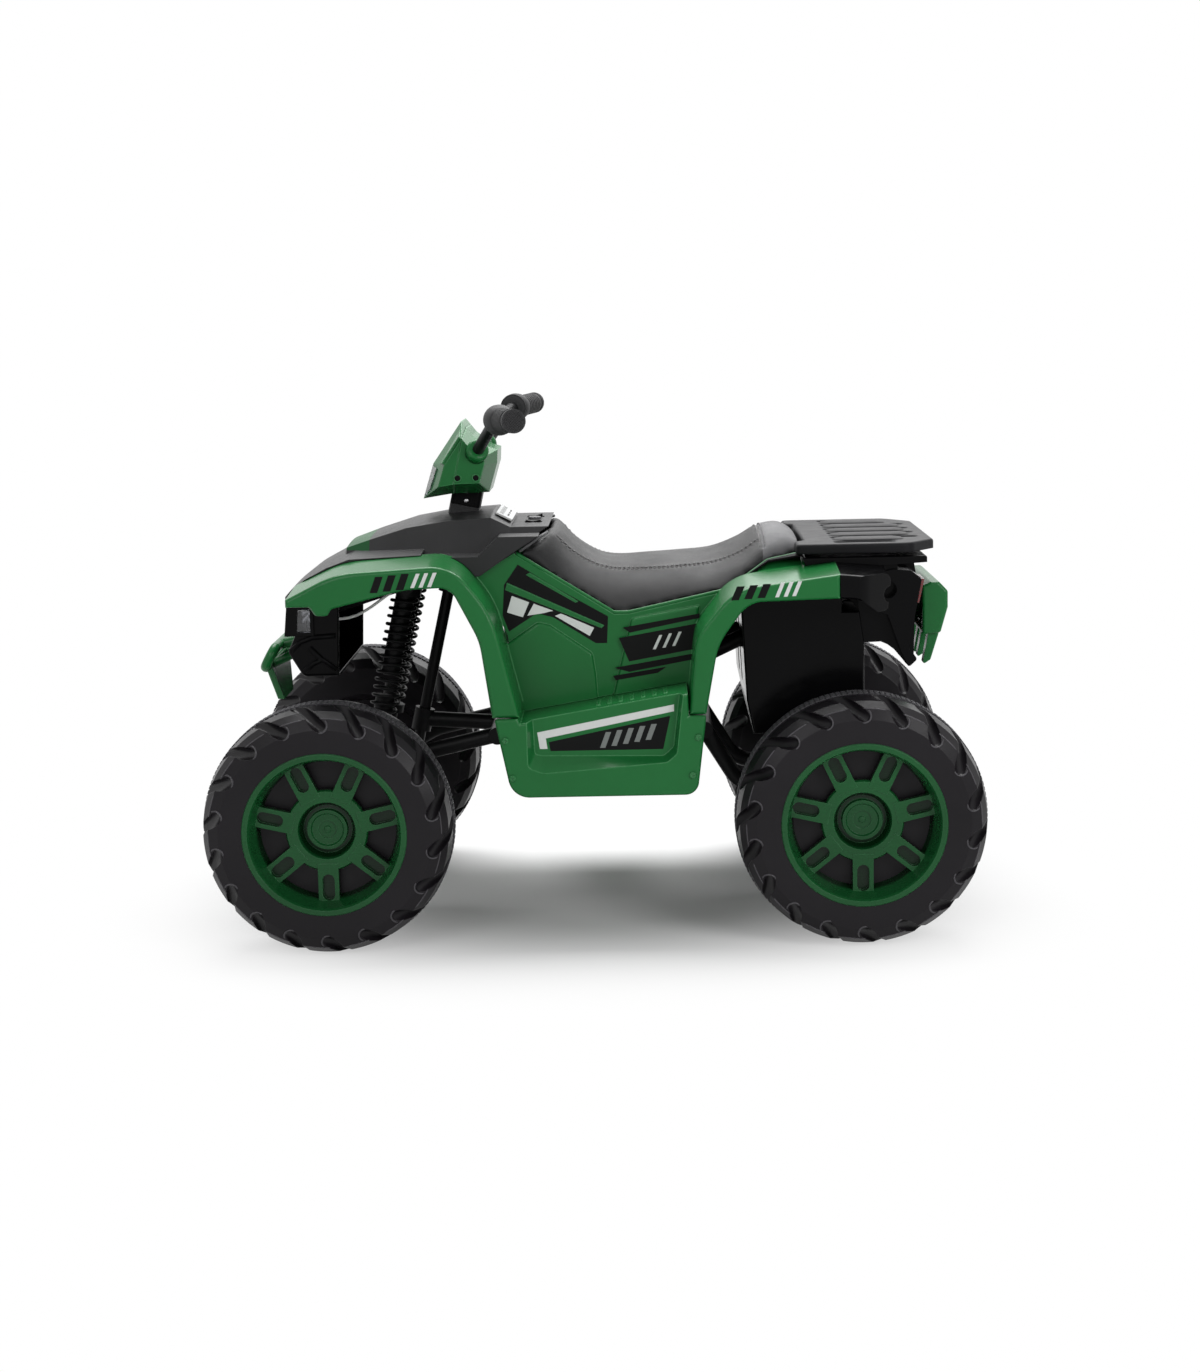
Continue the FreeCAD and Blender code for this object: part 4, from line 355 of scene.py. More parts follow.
def vinyl(name, colour, rough=0.36):
    """Printed sticker film: faint print dots, tiny scratches and a soft sheen."""
    look, tree, shader, place = new_look(name)
    dots = spread(tree, cells(tree, place, 1100.0), 0.1, 0.5, 0.0, 0.25)
    scratch = noise(tree, stretched(tree, place, 9.0, 1.0, 1.0), scale=90.0, detail=5.0, roughness=0.7)
    body = mixed(tree, dots, colour, scaled(colour, 0.75))
    body = mixed(tree, spread(tree, scratch, 0.62, 0.72, 0.0, 0.3), body, scaled(colour, 1.6))
    fill(tree, shader, {
        "Base Color": body, "Roughness": varied(tree, scratch, rough - 0.05, rough + 0.1),
        "Normal": bumped(tree, scratch, 0.08, 0.0002), "Specular IOR Level": 0.08
    })
    return look


def hood_insert(tree, place):
    """Share of green: the front part of the hood is a green insert."""
    front = fx(8) * MM
    back = fx(47) * MM
    bottom = hz(346) * MM
    axes = split_place(tree, place)
    behind = calc(tree, "GREATER_THAN", axes["X"], front)
    ahead = calc(tree, "LESS_THAN", axes["X"], back)
    above = calc(tree, "GREATER_THAN", axes["Z"], bottom)
    return calc(tree, "MULTIPLY", above, calc(tree, "MULTIPLY", behind, ahead))


def cover_painted_shade(tree, place):
    """Share of painted shade: how deep a point lies behind the spokes of a wheel cover, less at its hub."""
    lip = -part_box("front_left_wheel_cover")[0][1]
    floor_depth = 35 * MM
    spoke_depth = 28.5 * MM
    hub_r = 26 * MM
    hollow_r = 29 * MM
    axes = split_place(tree, place)
    outward = calc(tree, "ABSOLUTE", axes["Y"])
    deep = spread(tree, outward, lip - floor_depth, lip - spoke_depth, 0.95, 0.0)
    along = calc(tree, "SUBTRACT", calc(tree, "ABSOLUTE", axes["X"]), -FRONT_HUB.x * MM)
    above = calc(tree, "SUBTRACT", axes["Z"], FRONT_HUB.z * MM)
    squares = [calc(tree, "POWER", distance, 2.0) for distance in (along, above)]
    radius = calc(tree, "SQRT", calc(tree, "ADD", *squares))
    return calc(tree, "MULTIPLY", deep, spread(tree, radius, hub_r, hollow_r, 0.25, 1.0))


GREEN = tone(25, 100, 48)
WHEEL_GREEN = tone(19, 76, 37)
BLACK = tone(20, 20, 21)
LOOKS = {name: kind(name, colour, **values) for kind, name, colour, values in (
    (moulded, "tyre_plastic", tone(25, 23, 26), dict(rough=0.32, grain=0.2, round_mm=1.6, specular=0.16,
        edge_wear_and_highlight=0.6)),
    (rubber, "traction_rubber", tone(62, 61, 64), dict(rough=0.7)),
    # In wheel_green the patch paints shade: the recesses behind the spokes go nearly black-green, darker with
    # depth.
    (moulded, "wheel_green", WHEEL_GREEN, dict(rough=0.28, grain=0.08, coat=0.12, specular=0.16, flake=0.03,
        # The pale green edges of the wheel covers are partly wear and partly a painted highlight on the spoke
        # and rim edges.
        edge_wear_and_highlight=0.5, worn=tone(70, 128, 86), patch=cover_painted_shade, patch_colour=scaled(WHEEL_GREEN, 0.16))),
    (moulded, "black_tube", BLACK, dict(rough=0.38, grain=0.35, round_mm=0.8, specular=0.1)),
    # The strong pale green on the body's edges is a painted highlight along the panel edges, with a little
    # wear.
    (moulded, "body_green", GREEN, dict(rough=0.26, grain=0.02, round_mm=3.0, coat=0.12, specular=0.14,
        flake=0.03, edge_wear_and_highlight=0.8, vary=0.06, blotch=0.15, worn=tone(92, 158, 108))),
    (moulded, "satin_black", tone(12, 12, 13), dict(rough=0.4, grain=0.3, round_mm=1.4, specular=0.05)),
    (moulded, "gloss_black", tone(8, 8, 9), dict(rough=0.16, grain=0.05, specular=0.07)),
    (moulded, "pale_panel", tone(205, 206, 206), dict(rough=0.4, grain=0.15, round_mm=0.8, vary=0.05)),
    (moulded, "button_grey", tone(84, 84, 87), dict(rough=0.3, grain=0.08, round_mm=0.8)),
    (lens, "clear_lens", tone(176, 178, 186), dict(see_through=0.9)),
    (lens, "red_lens", tone(140, 12, 12), dict(see_through=0.35)),
    (leather, "seat_leather", tone(23, 23, 24), dict(cell_scale=520.0)),
    (rubber, "grip_rubber", tone(42, 42, 43), dict(rough=0.62, pit_scale=900.0)),
    (moulded, "spring_black", BLACK, dict(rough=0.4, grain=0.3, round_mm=0.4, specular=0.12, edge_wear_and_highlight=0.05)),
    (metal, "zinc_steel", tone(196, 196, 198), dict(rough=0.32, line_scale=500.0)),
    (moulded, "battery_case", tone(58, 58, 60), dict(rough=0.5, grain=0.4, round_mm=1.0)),
    (rubber, "wire_white", tone(216, 216, 214), dict(rough=0.5, pit_scale=1500.0)),
)}
HOOD_LOOK = moulded("hood_charcoal", tone(43, 43, 44), rough=0.38, grain=0.6, round_mm=1.6, specular=0.18,
                    patch=hood_insert, patch_colour=WHEEL_GREEN)
RACK_LOOK = moulded("rack_charcoal", tone(24, 24, 26), rough=0.42, grain=0.3, round_mm=4.0, specular=0.08)
# The tyre lips are paler than the tyre: a painted highlight on the scallop rims.
LIP_HIGHLIGHT_LOOK = moulded("tyre_lip", tone(64, 62, 66), rough=0.3, grain=0.1, round_mm=0.6, specular=0.3)
CUFF_LOOK = leather("cuff_vinyl", tone(88, 88, 90), cell_scale=760.0)
THREAD_LOOK = rubber("seat_thread", tone(140, 138, 139), rough=0.7, pit_scale=2600.0)
NODE_LOOKS = {"hood": HOOD_LOOK, "rear_rack": RACK_LOOK, "body_screws": LOOKS["body_green"]}

# Films of the decals: the look and the slot of each
BLACK_FILM = (vinyl("decal_black", tone(16, 17, 17)), "satin_black")
PALE_FILM = (vinyl("decal_white", tone(212, 215, 213)), "pale_panel")
GREY_FILM = (vinyl("decal_grey", tone(120, 124, 122)), "pale_panel")
GREEN_FILM = (LOOKS["body_green"], "body_green")

for part in frame["record"]["subparts"]:
    mesh = nodes[part["node"]].data
    mesh.materials.clear()
    mesh.materials.append(NODE_LOOKS.get(part["node"]) or LOOKS[part["material_slot"]])


# Mesh helpers: points are in millimetres
def solid(name, shape, slot_name, body=None, look=None, smooth=True, sign=1):
    """Piece from a shape, or from its mirror image at a sign of -1, in the look of its slot or another."""
    points = [Vector((point.x, sign * point.y, point.z)) * MM for point in shape.points]
    mesh = bpy.data.meshes.new(name)
    mesh.from_pydata(points, [], shape.faces)
    work = bmesh.new()
    work.from_mesh(mesh)
    bmesh.ops.recalc_face_normals(work, faces=work.faces)
    work.to_mesh(mesh)
    work.free()
    mesh.materials.append(look or LOOKS[slot_name])
    if smooth:
        mesh.shade_smooth()
    made = placed(name, mesh)
    if body:
        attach(made, body)
    return made


def pair(name, shape, slot_name, body, look=None, smooth=True):
    """The shape on the left side and its mirror image on the right."""
    for side, sign in SIDES:
        solid(side + "_" + name, shape, slot_name, body, look, smooth, sign)


def surface(mesh):
    """Tree that finds where a ray meets a mesh."""
    return BVHTree.FromPolygons([vertex.co for vertex in mesh.vertices],
                                [face.vertices for face in mesh.polygons])


def flat(outline, y):
    """Outline of the side view as points at a depth."""
    return [Vector((x, y, z)) for x, z in outline]


def around(centre, side, other, radius, angle):
    """Point of a circle that lies in the plane of two directions."""
    return centre + side * (radius * cos(angle)) + other * (radius * sin(angle))


def circle(centre, side, other, radius, sides):
    return [around(centre, side, other, radius, 2 * pi * step / sides) for step in range(sides)]


class Shape:
    """Collects points and faces of several closed forms for one piece."""

    end_share = 0.45

    def __init__(self):
        self.points = []
        self.faces = []

    def put(self, points, faces):
        start = len(self.points)
        self.points.extend(points)
        self.faces.extend([[start + corner for corner in face] for face in faces])

    def prism(self, low, high):
        """Closed prism between two outlines of as many points."""
        count = len(low)
        faces = [list(range(count)), list(range(count, 2 * count))]
        for index in range(count):
            after = (index + 1) % count
            faces.append([index, after, count + after, count + index])
        self.put(low + high, faces)

    def rings(self, rings, closed=False):
        """Tube through rings of as many points, closed on itself or with flat ends."""
        count = len(rings[0])
        faces = []
        if not closed:
            faces = [list(range(count)), [len(rings) * count - 1 - index for index in range(count)]]
        for ring in range(len(rings) if closed else len(rings) - 1):
            base = ring * count
            beyond = (ring + 1) % len(rings) * count
            for index in range(count):
                after = (index + 1) % count
                faces.append([base + index, base + after, beyond + after, beyond + index])
        self.put([point for ring in rings for point in ring], faces)

    def frame(self, outer, inner, shift):
        """Closed rim between two outlines of as many points, drawn out along a shift."""
        self.rings([outer, [point + shift for point in outer], [point + shift for point in inner], inner],
                   closed=True)

    def turned(self, start, way, profile, sides=40):
        """Turned form about an axis, from (distance, radius) pairs."""
        side = way.orthogonal().normalized()
        other = way.cross(side)
        self.rings([circle(start + way * distance, side, other, radius, sides)
                    for distance, radius in profile])

    def tube(self, line, radius, sides, ends=False):
        """Round tube along a line of points; with ends it tapers like a stitch."""
        side = None
        rings = []
        for index, point in enumerate(line):
            ahead = line[min(index + 1, len(line) - 1)] - line[max(index - 1, 0)]
            ahead.normalize()
            if side is None:
                side = ahead.orthogonal().normalized()
            side = (side - ahead * side.dot(ahead)).normalized()
            other = ahead.cross(side)
            wide = radius * self.end_share if ends and index in (0, len(line) - 1) else radius
            rings.append(circle(point, side, other, wide, sides))
        self.rings(rings)


# Springs: smooth coils
COIL_R = 17.5
WIRE_R = 2.25
CURL_STEPS = 36


def coil(shape, low, high, curls):
    """Wire wound about the line between the two ends of a spring."""
    axis = (high - low).normalized()
    length = (high - low).length
    side = Vector((0, 1, 0))
    other = axis.cross(side)
    steps = curls * CURL_STEPS
    line = []
    for step in range(steps + 1):
        angle = 2 * pi * curls * step / steps
        rise = WIRE_R + (length - 2 * WIRE_R) * step / steps
        line.append(around(low + axis * rise, side, other, COIL_R, angle))
    shape.tube(line, WIRE_R, 10)


def spring_pair(name, low, high, curls, node):
    """A coil on each side, from the arm up to the chassis, in place of the hidden CAD spring."""
    shape = Shape()
    for sign in (1, -1):
        coil(shape, *[Vector((end.x, sign * end.y, end.z)) for end in (low, high)], curls)
    coils = solid(name, shape, "spring_black")
    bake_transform(coils)
    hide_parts(node)


def on_spring(base, axis, z):
    """Point at a height on the line of a spring."""
    return base + axis * ((z - base.z) / axis.z)


def springs():
    cup_rise = 2.9
    front_drop = 17.9
    rear_drop = 62.9
    front_base = Vector((fx(31), -62, hz(25)))
    front_low = on_spring(front_base, STEER_UP, hz(108)) + STEER_UP * cup_rise
    front_high = on_spring(front_base, STEER_UP, hz(297)) - STEER_UP * front_drop
    spring_pair("front_coils", front_low, front_high, 15, "front_springs")
    rear_base = Vector((rx(-52), -62, hz(12)))
    rear_axis = (Vector((rx(-64), -62, hz(246))) - rear_base).normalized()
    rear_low = on_spring(rear_base, rear_axis, hz(62)) + rear_axis * cup_rise
    rear_high = on_spring(rear_base, rear_axis, hz(246)) - rear_axis * rear_drop
    spring_pair("rear_coils", rear_low, rear_high, 10, "rear_springs")


springs()


# Headlight lead
def headlight_lead():
    route = [(fx(-27.6), -127, hz(257)), (fx(-2), -126, hz(255)), (fx(24), -119, hz(257)),
             (fx(47), -114, hz(269)), (fx(66), -111, hz(283)), (fx(84), -107, hz(294)),
             (fx(93), -93.2, hz(297.5))]
    curve = bpy.data.curves.new("headlight_lead", "CURVE")
    curve.dimensions = "3D"
    spline = curve.splines.new("NURBS")
    spline.points.add(len(route) - 1)
    for point, place in zip(spline.points, route):
        point.co = (*(Vector(place) * MM), 1.0)
    spline.order_u = 3
    spline.use_endpoint_u = True
    spline.resolution_u = 12
    curve.bevel_depth = 0.002
    curve.bevel_resolution = 4
    curve.use_fill_caps = True
    curve.materials.append(LOOKS["wire_white"])
    lead = placed("headlight_lead", curve)
    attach(lead, "chassis")
    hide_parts("headlight_wire")


headlight_lead()


# Seat
SEAT_FRONT = fx(256)
SEAT_BACK = rx(-66)
CUFF_X = rx(-117)
# Rows across the seat: x, seam height, crown height, half width at the floor, half width at the seam
SECTIONS = [(fx(256), hz(348), hz(349), 168, 166), (fx(268), hz(355), hz(356.5), 168, 158),
            (fx(281), hz(363), hz(365), 168, 145), (fx(296), hz(369.5), hz(373), 167, 122),
            (fx(323), hz(342), hz(347), 167, 104), (fx(356), hz(323), hz(328), 166, 99),
            (fx(384), hz(317), hz(323), 166, 100),
            (rx(-274), hz(317), hz(324), 166, 105), (rx(-229), hz(319), hz(326), 166, 106),
            (rx(-181), hz(324), hz(331), 164, 104), (rx(-144), hz(337), hz(345), 152, 101),
            (rx(-118), hz(354), hz(361), 140, 98), (rx(-87), hz(360), hz(366), 130, 92),
            (rx(-66), hz(350), hz(353), 118, 84)]
# Underside in the side view: x, height
FLOOR_LINE = [(fx(256), hz(339.3)), (fx(379), hz(261)), (rx(-299), hz(261)), (rx(-165), hz(289)),
              (rx(-111), hz(324)), (rx(-66), hz(331))]


def straight(line, x):
    """Height of a broken line at x."""
    for before, after in zip(line, line[1:]):
        if x <= after[0]:
            share = (x - before[0]) / (after[0] - before[0])
            return before[1] + share * (after[1] - before[1])
    return line[-1][1]


def smooth_section(x):
    """Seam height, crown height, low half width and seam half width of the seat at x."""
    last = len(SECTIONS) - 1
    index = 0
    while index < last - 1 and x > SECTIONS[index + 1][0]:
        index += 1
    before = SECTIONS[max(index - 1, 0)]
    start = SECTIONS[index]
    end = SECTIONS[index + 1]
    after = SECTIONS[min(index + 2, last)]
    span = end[0] - start[0]
    share = (x - start[0]) / span
    values = []
    for column in range(1, 5):
        lead_in = (end[column] - before[column]) / (end[0] - before[0]) * span
        lead_out = (after[column] - start[column]) / (after[0] - start[0]) * span
        rest = 1 - share
        values.append(start[column] * rest * rest * (1 + 2 * share) + lead_in * share * rest * rest
                      + end[column] * share * share * (3 - 2 * share) - lead_out * share * share * rest)
    return values


def stepped(place, end, step):
    """Places from the first one up to an end."""
    places = []
    while place < end:
        places.append(place)
        place += step
    return places


def seat_ring(x, shrink):
    """Outline across the pad: bulging sides, a crown between the seams and a flat floor."""
    floor_lift = 1.2
    least_side = 8
    least_crown = 1
    bulge = 6
    bulge_share = 0.7
    side_steps = 8
    crown_steps = 10
    floor_steps = 5
    seam, crown, low_half, seam_half = smooth_section(x)
    low = straight(FLOOR_LINE, x) + floor_lift
    seam = max(seam - shrink, low + least_side)
    crown = max(crown - shrink, seam + least_crown)
    low_half -= shrink
    seam_half -= shrink
    half = []
    for step in range(side_steps):
        share = step / side_steps
        out = bulge * sin(pi * share) * bulge_share
        half.append((-low_half + (low_half - seam_half) * share - out, low + (seam - low) * share + out))
    for step in range(crown_steps):
        y = -seam_half * (1 - step / crown_steps)
        half.append((y, seam + (crown - seam) * (1 - (y / seam_half) ** 2)))
    points = half + [(0.0, crown)] + [(-y, z) for y, z in reversed(half)]
    floor = [(low_half * (1 - step / floor_steps), low) for step in range(1, 2 * floor_steps)]
    return [Vector((x, y, z)) for y, z in points + floor]


def swell(pad, floor_gap, limit):
    """Blow the pad up with a pressure cloth, its underside held, and keep its smoothed rise."""
    frames = 20
    smooth_rounds = 80
    start = [vertex.co.copy() for vertex in pad.data.vertices]
    held = pad.vertex_groups.new(name="held")
    for vertex in pad.data.vertices:
        place = vertex.co / MM
        if place.z < straight(FLOOR_LINE, place.x) + floor_gap:
            held.add([vertex.index], 1.0, "REPLACE")
    cloth = pad.modifiers.new("puff", "CLOTH")
    cloth.settings.vertex_group_mass = "held"
    cloth.settings.use_pressure = True
    cloth.settings.uniform_pressure_force = 4.0
    cloth.settings.effector_weights.gravity = 0.0
    cloth.settings.tension_stiffness = 25.0
    cloth.settings.compression_stiffness = 25.0
    cloth.settings.shear_stiffness = 10.0
    cloth.settings.quality = 5
    cloth.collision_settings.use_collision = False
    for step in range(1, frames + 1):
        scene.frame_set(step)
    grown = pad.evaluated_get(bpy.context.evaluated_depsgraph_get()).data
    finish = [vertex.co.copy() for vertex in grown.vertices]
    pad.modifiers.remove(cloth)
    rises = []
    for vertex, before, after in zip(pad.data.vertices, start, finish):
        rises.append(max(0.0, min(limit * MM, (after - before).dot(vertex.normal))))
    beside = [[] for _ in rises]
    for edge in pad.data.edges:
        first, second = edge.vertices
        beside[first].append(second)
        beside[second].append(first)
    for _ in range(smooth_rounds):
        rises = [(rise + sum(rises[other] for other in near)) / (1 + len(near))
                 for rise, near in zip(rises, beside)]
    lifts = [vertex.normal * rise for vertex, rise in zip(pad.data.vertices, rises)]
    for vertex, lift in zip(pad.data.vertices, lifts):
        vertex.co += lift
    scene.frame_set(1)


def applied(item):
    """Turn the modifiers of a piece into its mesh."""
    made = bpy.data.meshes.new_from_object(item.evaluated_get(bpy.context.evaluated_depsgraph_get()))
    item.modifiers.clear()
    item.data = made


def switch_bay(pad):
    """Take out of the pad's front the room that the switches need under the dash."""
    half = 66
    height = 100
    corners = ((fx(240), -half), (fx(291), -half), (fx(291), half), (fx(240), half))
    low = [Vector((x, y, hz(300))) for x, y in corners]
    shape = Shape()
    shape.prism(low, [point + Vector((0, 0, height)) for point in low])
    bay = solid("switch_bay", shape, "seat_leather")
    cut = pad.modifiers.new("bay", "BOOLEAN")
    cut.operation = "DIFFERENCE"
    cut.object = bay
    applied(pad)
    bpy.data.objects.remove(bay)


def seat_form():
    """The pad with its switch bay, swollen and smoothed."""
    steps = 72
    swell_room = 3.0
    length = SEAT_BACK - SEAT_FRONT
    shape = Shape()
    shape.rings([seat_ring(SEAT_FRONT + length * step / steps, swell_room) for step in range(steps + 1)])
    pad = solid("seat_cushion", shape, "seat_leather")
    switch_bay(pad)
    remesh = pad.modifiers.new("even", "REMESH")
    remesh.mode = "VOXEL"
    remesh.voxel_size = 0.0045
    applied(pad)
    swell(pad, floor_gap=7.0, limit=4.5)
    smoother = pad.modifiers.new("calm", "CORRECTIVE_SMOOTH")
    smoother.factor = 0.5
    smoother.iterations = 4
    smoother.use_only_smooth = True
    finer = pad.modifiers.new("finer", "SUBSURF")
    finer.levels = 1
    finer.render_levels = 1
    applied(pad)
    return pad


def dropped(tree, x, y):
    """Point and normal of the seat straight below a place above it."""
    above = hz(460)
    hit = tree.ray_cast(Vector((x, y, above)) * MM, Vector((0, 0, -1)))
    return hit[0] / MM, hit[1]


def seam_lines(tree):
    """Top seams of the seat: two along its borders and one across in front of the rear cuff."""
    front = fx(304)
    inset = 5
    half_across = 118.0
    spacing = 3
    lines = []
    for side in (-1, 1):
        lines.append([dropped(tree, x, side * (smooth_section(x)[3] - inset))
                      for x in stepped(front, CUFF_X, spacing)])
    lines.append([dropped(tree, CUFF_X, y) for y in stepped(-half_across, half_across, spacing)])
    return lines


def press_seams(pad, lines):
    """Draw the surface in along the seams."""
    reach = 6.0
    width = 2.3
    depth = 2.0 * MM
    spots = [point for line in lines for point, _ in line]
    seams = KDTree(len(spots))
    for index, spot in enumerate(spots):
        seams.insert(spot, index)
    seams.balance()
    for vertex in pad.data.vertices:
        near = seams.find(vertex.co / MM)[2]
        if near < reach:
            vertex.co -= vertex.normal * (depth * exp(-((near / width) ** 2)))


def stitches(lines):
    """Two rows of short stitches beside each seam."""
    row_gap = 3.6
    length_share = 1.25
    rise = 0.45
    sunk = 0.3
    thread_r = 0.7
    shape = Shape()
    for line in lines:
        for row in (-1, 1):
            for index in range(1, len(line) - 2, 2):
                first, lift = line[index]
                second, _ = line[index + 1]
                across = (second - first).cross(lift).normalized() * (row_gap * row)
                start = first + across
                end = start + (second - first) * length_share
                middle = (start + end) / 2 + lift * rise
                shape.tube([start - lift * sunk, middle, end - lift * sunk], thread_r, 6, ends=True)
    solid("seat_stitches", shape, "seat_leather", "chassis", THREAD_LOOK)


def seat_borders():
    """Green bead on the rim of the side panels, and piping where the seat meets the hood."""
    bead_r = 2.6
    bead_rise = 1.6
    piping_r = 2.0
    sides = 12
    line = []
    for x in stepped(fx(250), SEAT_BACK - 2, 4):
        half = smooth_section(max(x, SEAT_FRONT))[2]
        line.append(Vector((x, -half - bead_r, straight(FLOOR_LINE, x) + bead_rise)))
    rim = Shape()
    rim.tube(line, bead_r, sides)
    pair("seat_rim", rim, "body_green", "chassis")
    route = ((fx(254), -168, hz(347)), (fx(268), -161, hz(355.5)), (fx(281), -148, hz(363.8)),
             (fx(291), -128, hz(368.5)))
    piping = Shape()
    piping.tube([Vector(point) for point in route], piping_r, sides)
    pair("seat_piping", piping, "seat_leather", "chassis", CUFF_LOOK)


def seat():
    """The padded seat with its pressed seams, stitches, rear cuff and borders."""
    pad = seat_form()
    mesh = pad.data
    tree = surface(mesh)
    lines = seam_lines(tree)
    press_seams(pad, lines)
    mesh.materials.append(CUFF_LOOK)
    for face in mesh.polygons:
        face.material_index = 1 if face.center.x / MM > CUFF_X else 0
        face.use_smooth = True
    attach(pad, "chassis")
    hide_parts("seat_pad")
    stitches(lines)
    seat_borders()


seat()


# Decals: thin film on the flat faces, the same on both sides
FENDER_Y = 270
WALL_Y = 172
FIELD_Y = 177
POCKET_Y = 257
FILM_PROUD = 0.25
FILM_SUNK = 0.3
BROAD_BARS = {"pitch": 17, "count": 3, "wide": 10, "lean": 8}
SLIM_BARS = {"pitch": 11, "count": 3, "wide": 5, "lean": 8}


def decal(name, outlines, y, film):
    """Film cut to outlines in the side view, a quarter of a millimetre proud of the face at y."""
    shape = Shape()
    for outline in outlines:
        shape.prism(flat(outline, -(y - FILM_SUNK)), flat(outline, -(y + FILM_PROUD)))
    look, slot_name = film
    pair(name, shape, slot_name, "chassis", look, smooth=False)


def bars(x, low, high, pitch, count, wide, lean, climb):
    """Outlines of a row of bars that lean back, each a little higher than the one before."""
    found = []
    for index in range(count):
        front = x + pitch * index
        bottom = hz(low) + climb * index
        top = hz(high) + climb * index
        back = front + wide
        found.append([(front, bottom), (back, bottom), (back + lean, top), (front + lean, top)])
    return found


decal("front_bars", bars(fx(64), 307, 328, climb=1.6, **BROAD_BARS), FENDER_Y, BLACK_FILM)
decal("front_pale_bars", bars(fx(117), 312.5, 331, climb=0.4, **SLIM_BARS), FENDER_Y, PALE_FILM)
decal("rear_bars", bars(rx(-166), 288, 306, climb=1.2, **BROAD_BARS), FENDER_Y, BLACK_FILM)
decal("rear_pale_bars", bars(rx(-109), 291, 310, climb=0.5, **SLIM_BARS), FENDER_Y, PALE_FILM)
decal("wall_field", [front_line((230, 262), (233, 303), (252, 330), (300, 299), (371, 258), (369, 222),
                                (354, 222), (298, 258), (276, 264), (238, 240))], WALL_Y, BLACK_FILM)
decal("wall_green", [
    front_line((234, 296), (237, 306), (366, 246), (362, 242)),
    front_line((262, 316), (268, 319), (332, 279), (328, 277))
], WALL_Y + FILM_PROUD, GREEN_FILM)
decal("wall_pale", [
    front_line((236, 266), (243, 288), (266, 279), (257, 259)),
    front_line((263, 261), (272, 277), (298, 267), (285, 264)),
    front_line((300, 260), (308, 263), (352, 243), (346, 232))
], WALL_Y + FILM_PROUD, PALE_FILM)
decal("field_stripes", [
    rear_line((-308, 243), (-205, 260), (-205, 254), (-298, 236)),
    rear_line((-313, 229), (-206, 247), (-208, 213), (-300, 197)),
    rear_line((-320, 189), (-209, 207), (-210, 199), (-300, 183)),
    rear_line((-322, 178), (-250, 189), (-262, 181), (-318, 172))
], FIELD_Y, BLACK_FILM)
decal("field_pale", bars(rx(-268), 213, 232, pitch=13, count=3, wide=4, lean=9, climb=2.0),
      FIELD_Y + FILM_PROUD, PALE_FILM)
decal("pocket_border", [[(fx(279), hz(95)), (fx(276), hz(117)), (rx(-242), hz(151)), (rx(-242), hz(142)),
                         (fx(287), hz(109)), (fx(289), hz(95))]], POCKET_Y, PALE_FILM)
decal("pocket_field", [[(fx(293), hz(92)), (fx(291), hz(104)), (rx(-247), hz(136)), (rx(-257), hz(92))]],
      POCKET_Y, BLACK_FILM)
decal("pocket_bars", bars(rx(-340), 95, 116, pitch=15, count=5, wide=7, lean=8, climb=2.4),
      POCKET_Y + FILM_PROUD, GREY_FILM)


# Small parts
COVER = front_line((118, 411), (133, 459), (173, 516), (188, 497), (210, 480), (222, 476), (221, 458),
                   (209, 418), (158, 417))
COVER_CORE_Y = 46.0
COVER_Y = 92.0
COVER_TAPER = 0.62
COVER_X = sum(x for x, _ in COVER) / len(COVER)
COVER_Z = sum(z for _, z in COVER) / len(COVER)
BAR_BEND = Vector((fx(229), -182, hz(523)))
BAR_TIP = Vector((fx(258), -300, hz(526)))
OUTWARD = Vector((0, -1, 0))


def cover_plate(edge, outline):
    """Plate on a side facet of the bar cover, from (along the edge, outward, lift) corners."""
    sunk = 0.6
    corners = []
    for x, z in (COVER[edge], COVER[(edge + 1) % len(COVER)]):
        corners.append(Vector((x, -COVER_CORE_Y, z)))
        corners.append(Vector((COVER_X + (x - COVER_X) * COVER_TAPER, -COVER_Y,
                               COVER_Z + (z - COVER_Z) * COVER_TAPER)))
    lift_way = (corners[2] - corners[0]).cross(corners[1] - corners[0]).normalized()
    if lift_way.dot(corners[0] - Vector((COVER_X, -COVER_CORE_Y, COVER_Z))) < 0:
        lift_way.negate()
    low = []
    high = []
    for along, outward, lift in outline:
        spot = corners[0].lerp(corners[2], along).lerp(corners[1].lerp(corners[3], along), outward)
        low.append(spot - lift_way * sunk)
        high.append(spot + lift_way * lift)
    shape = Shape()
    shape.prism(low, high)
    return shape


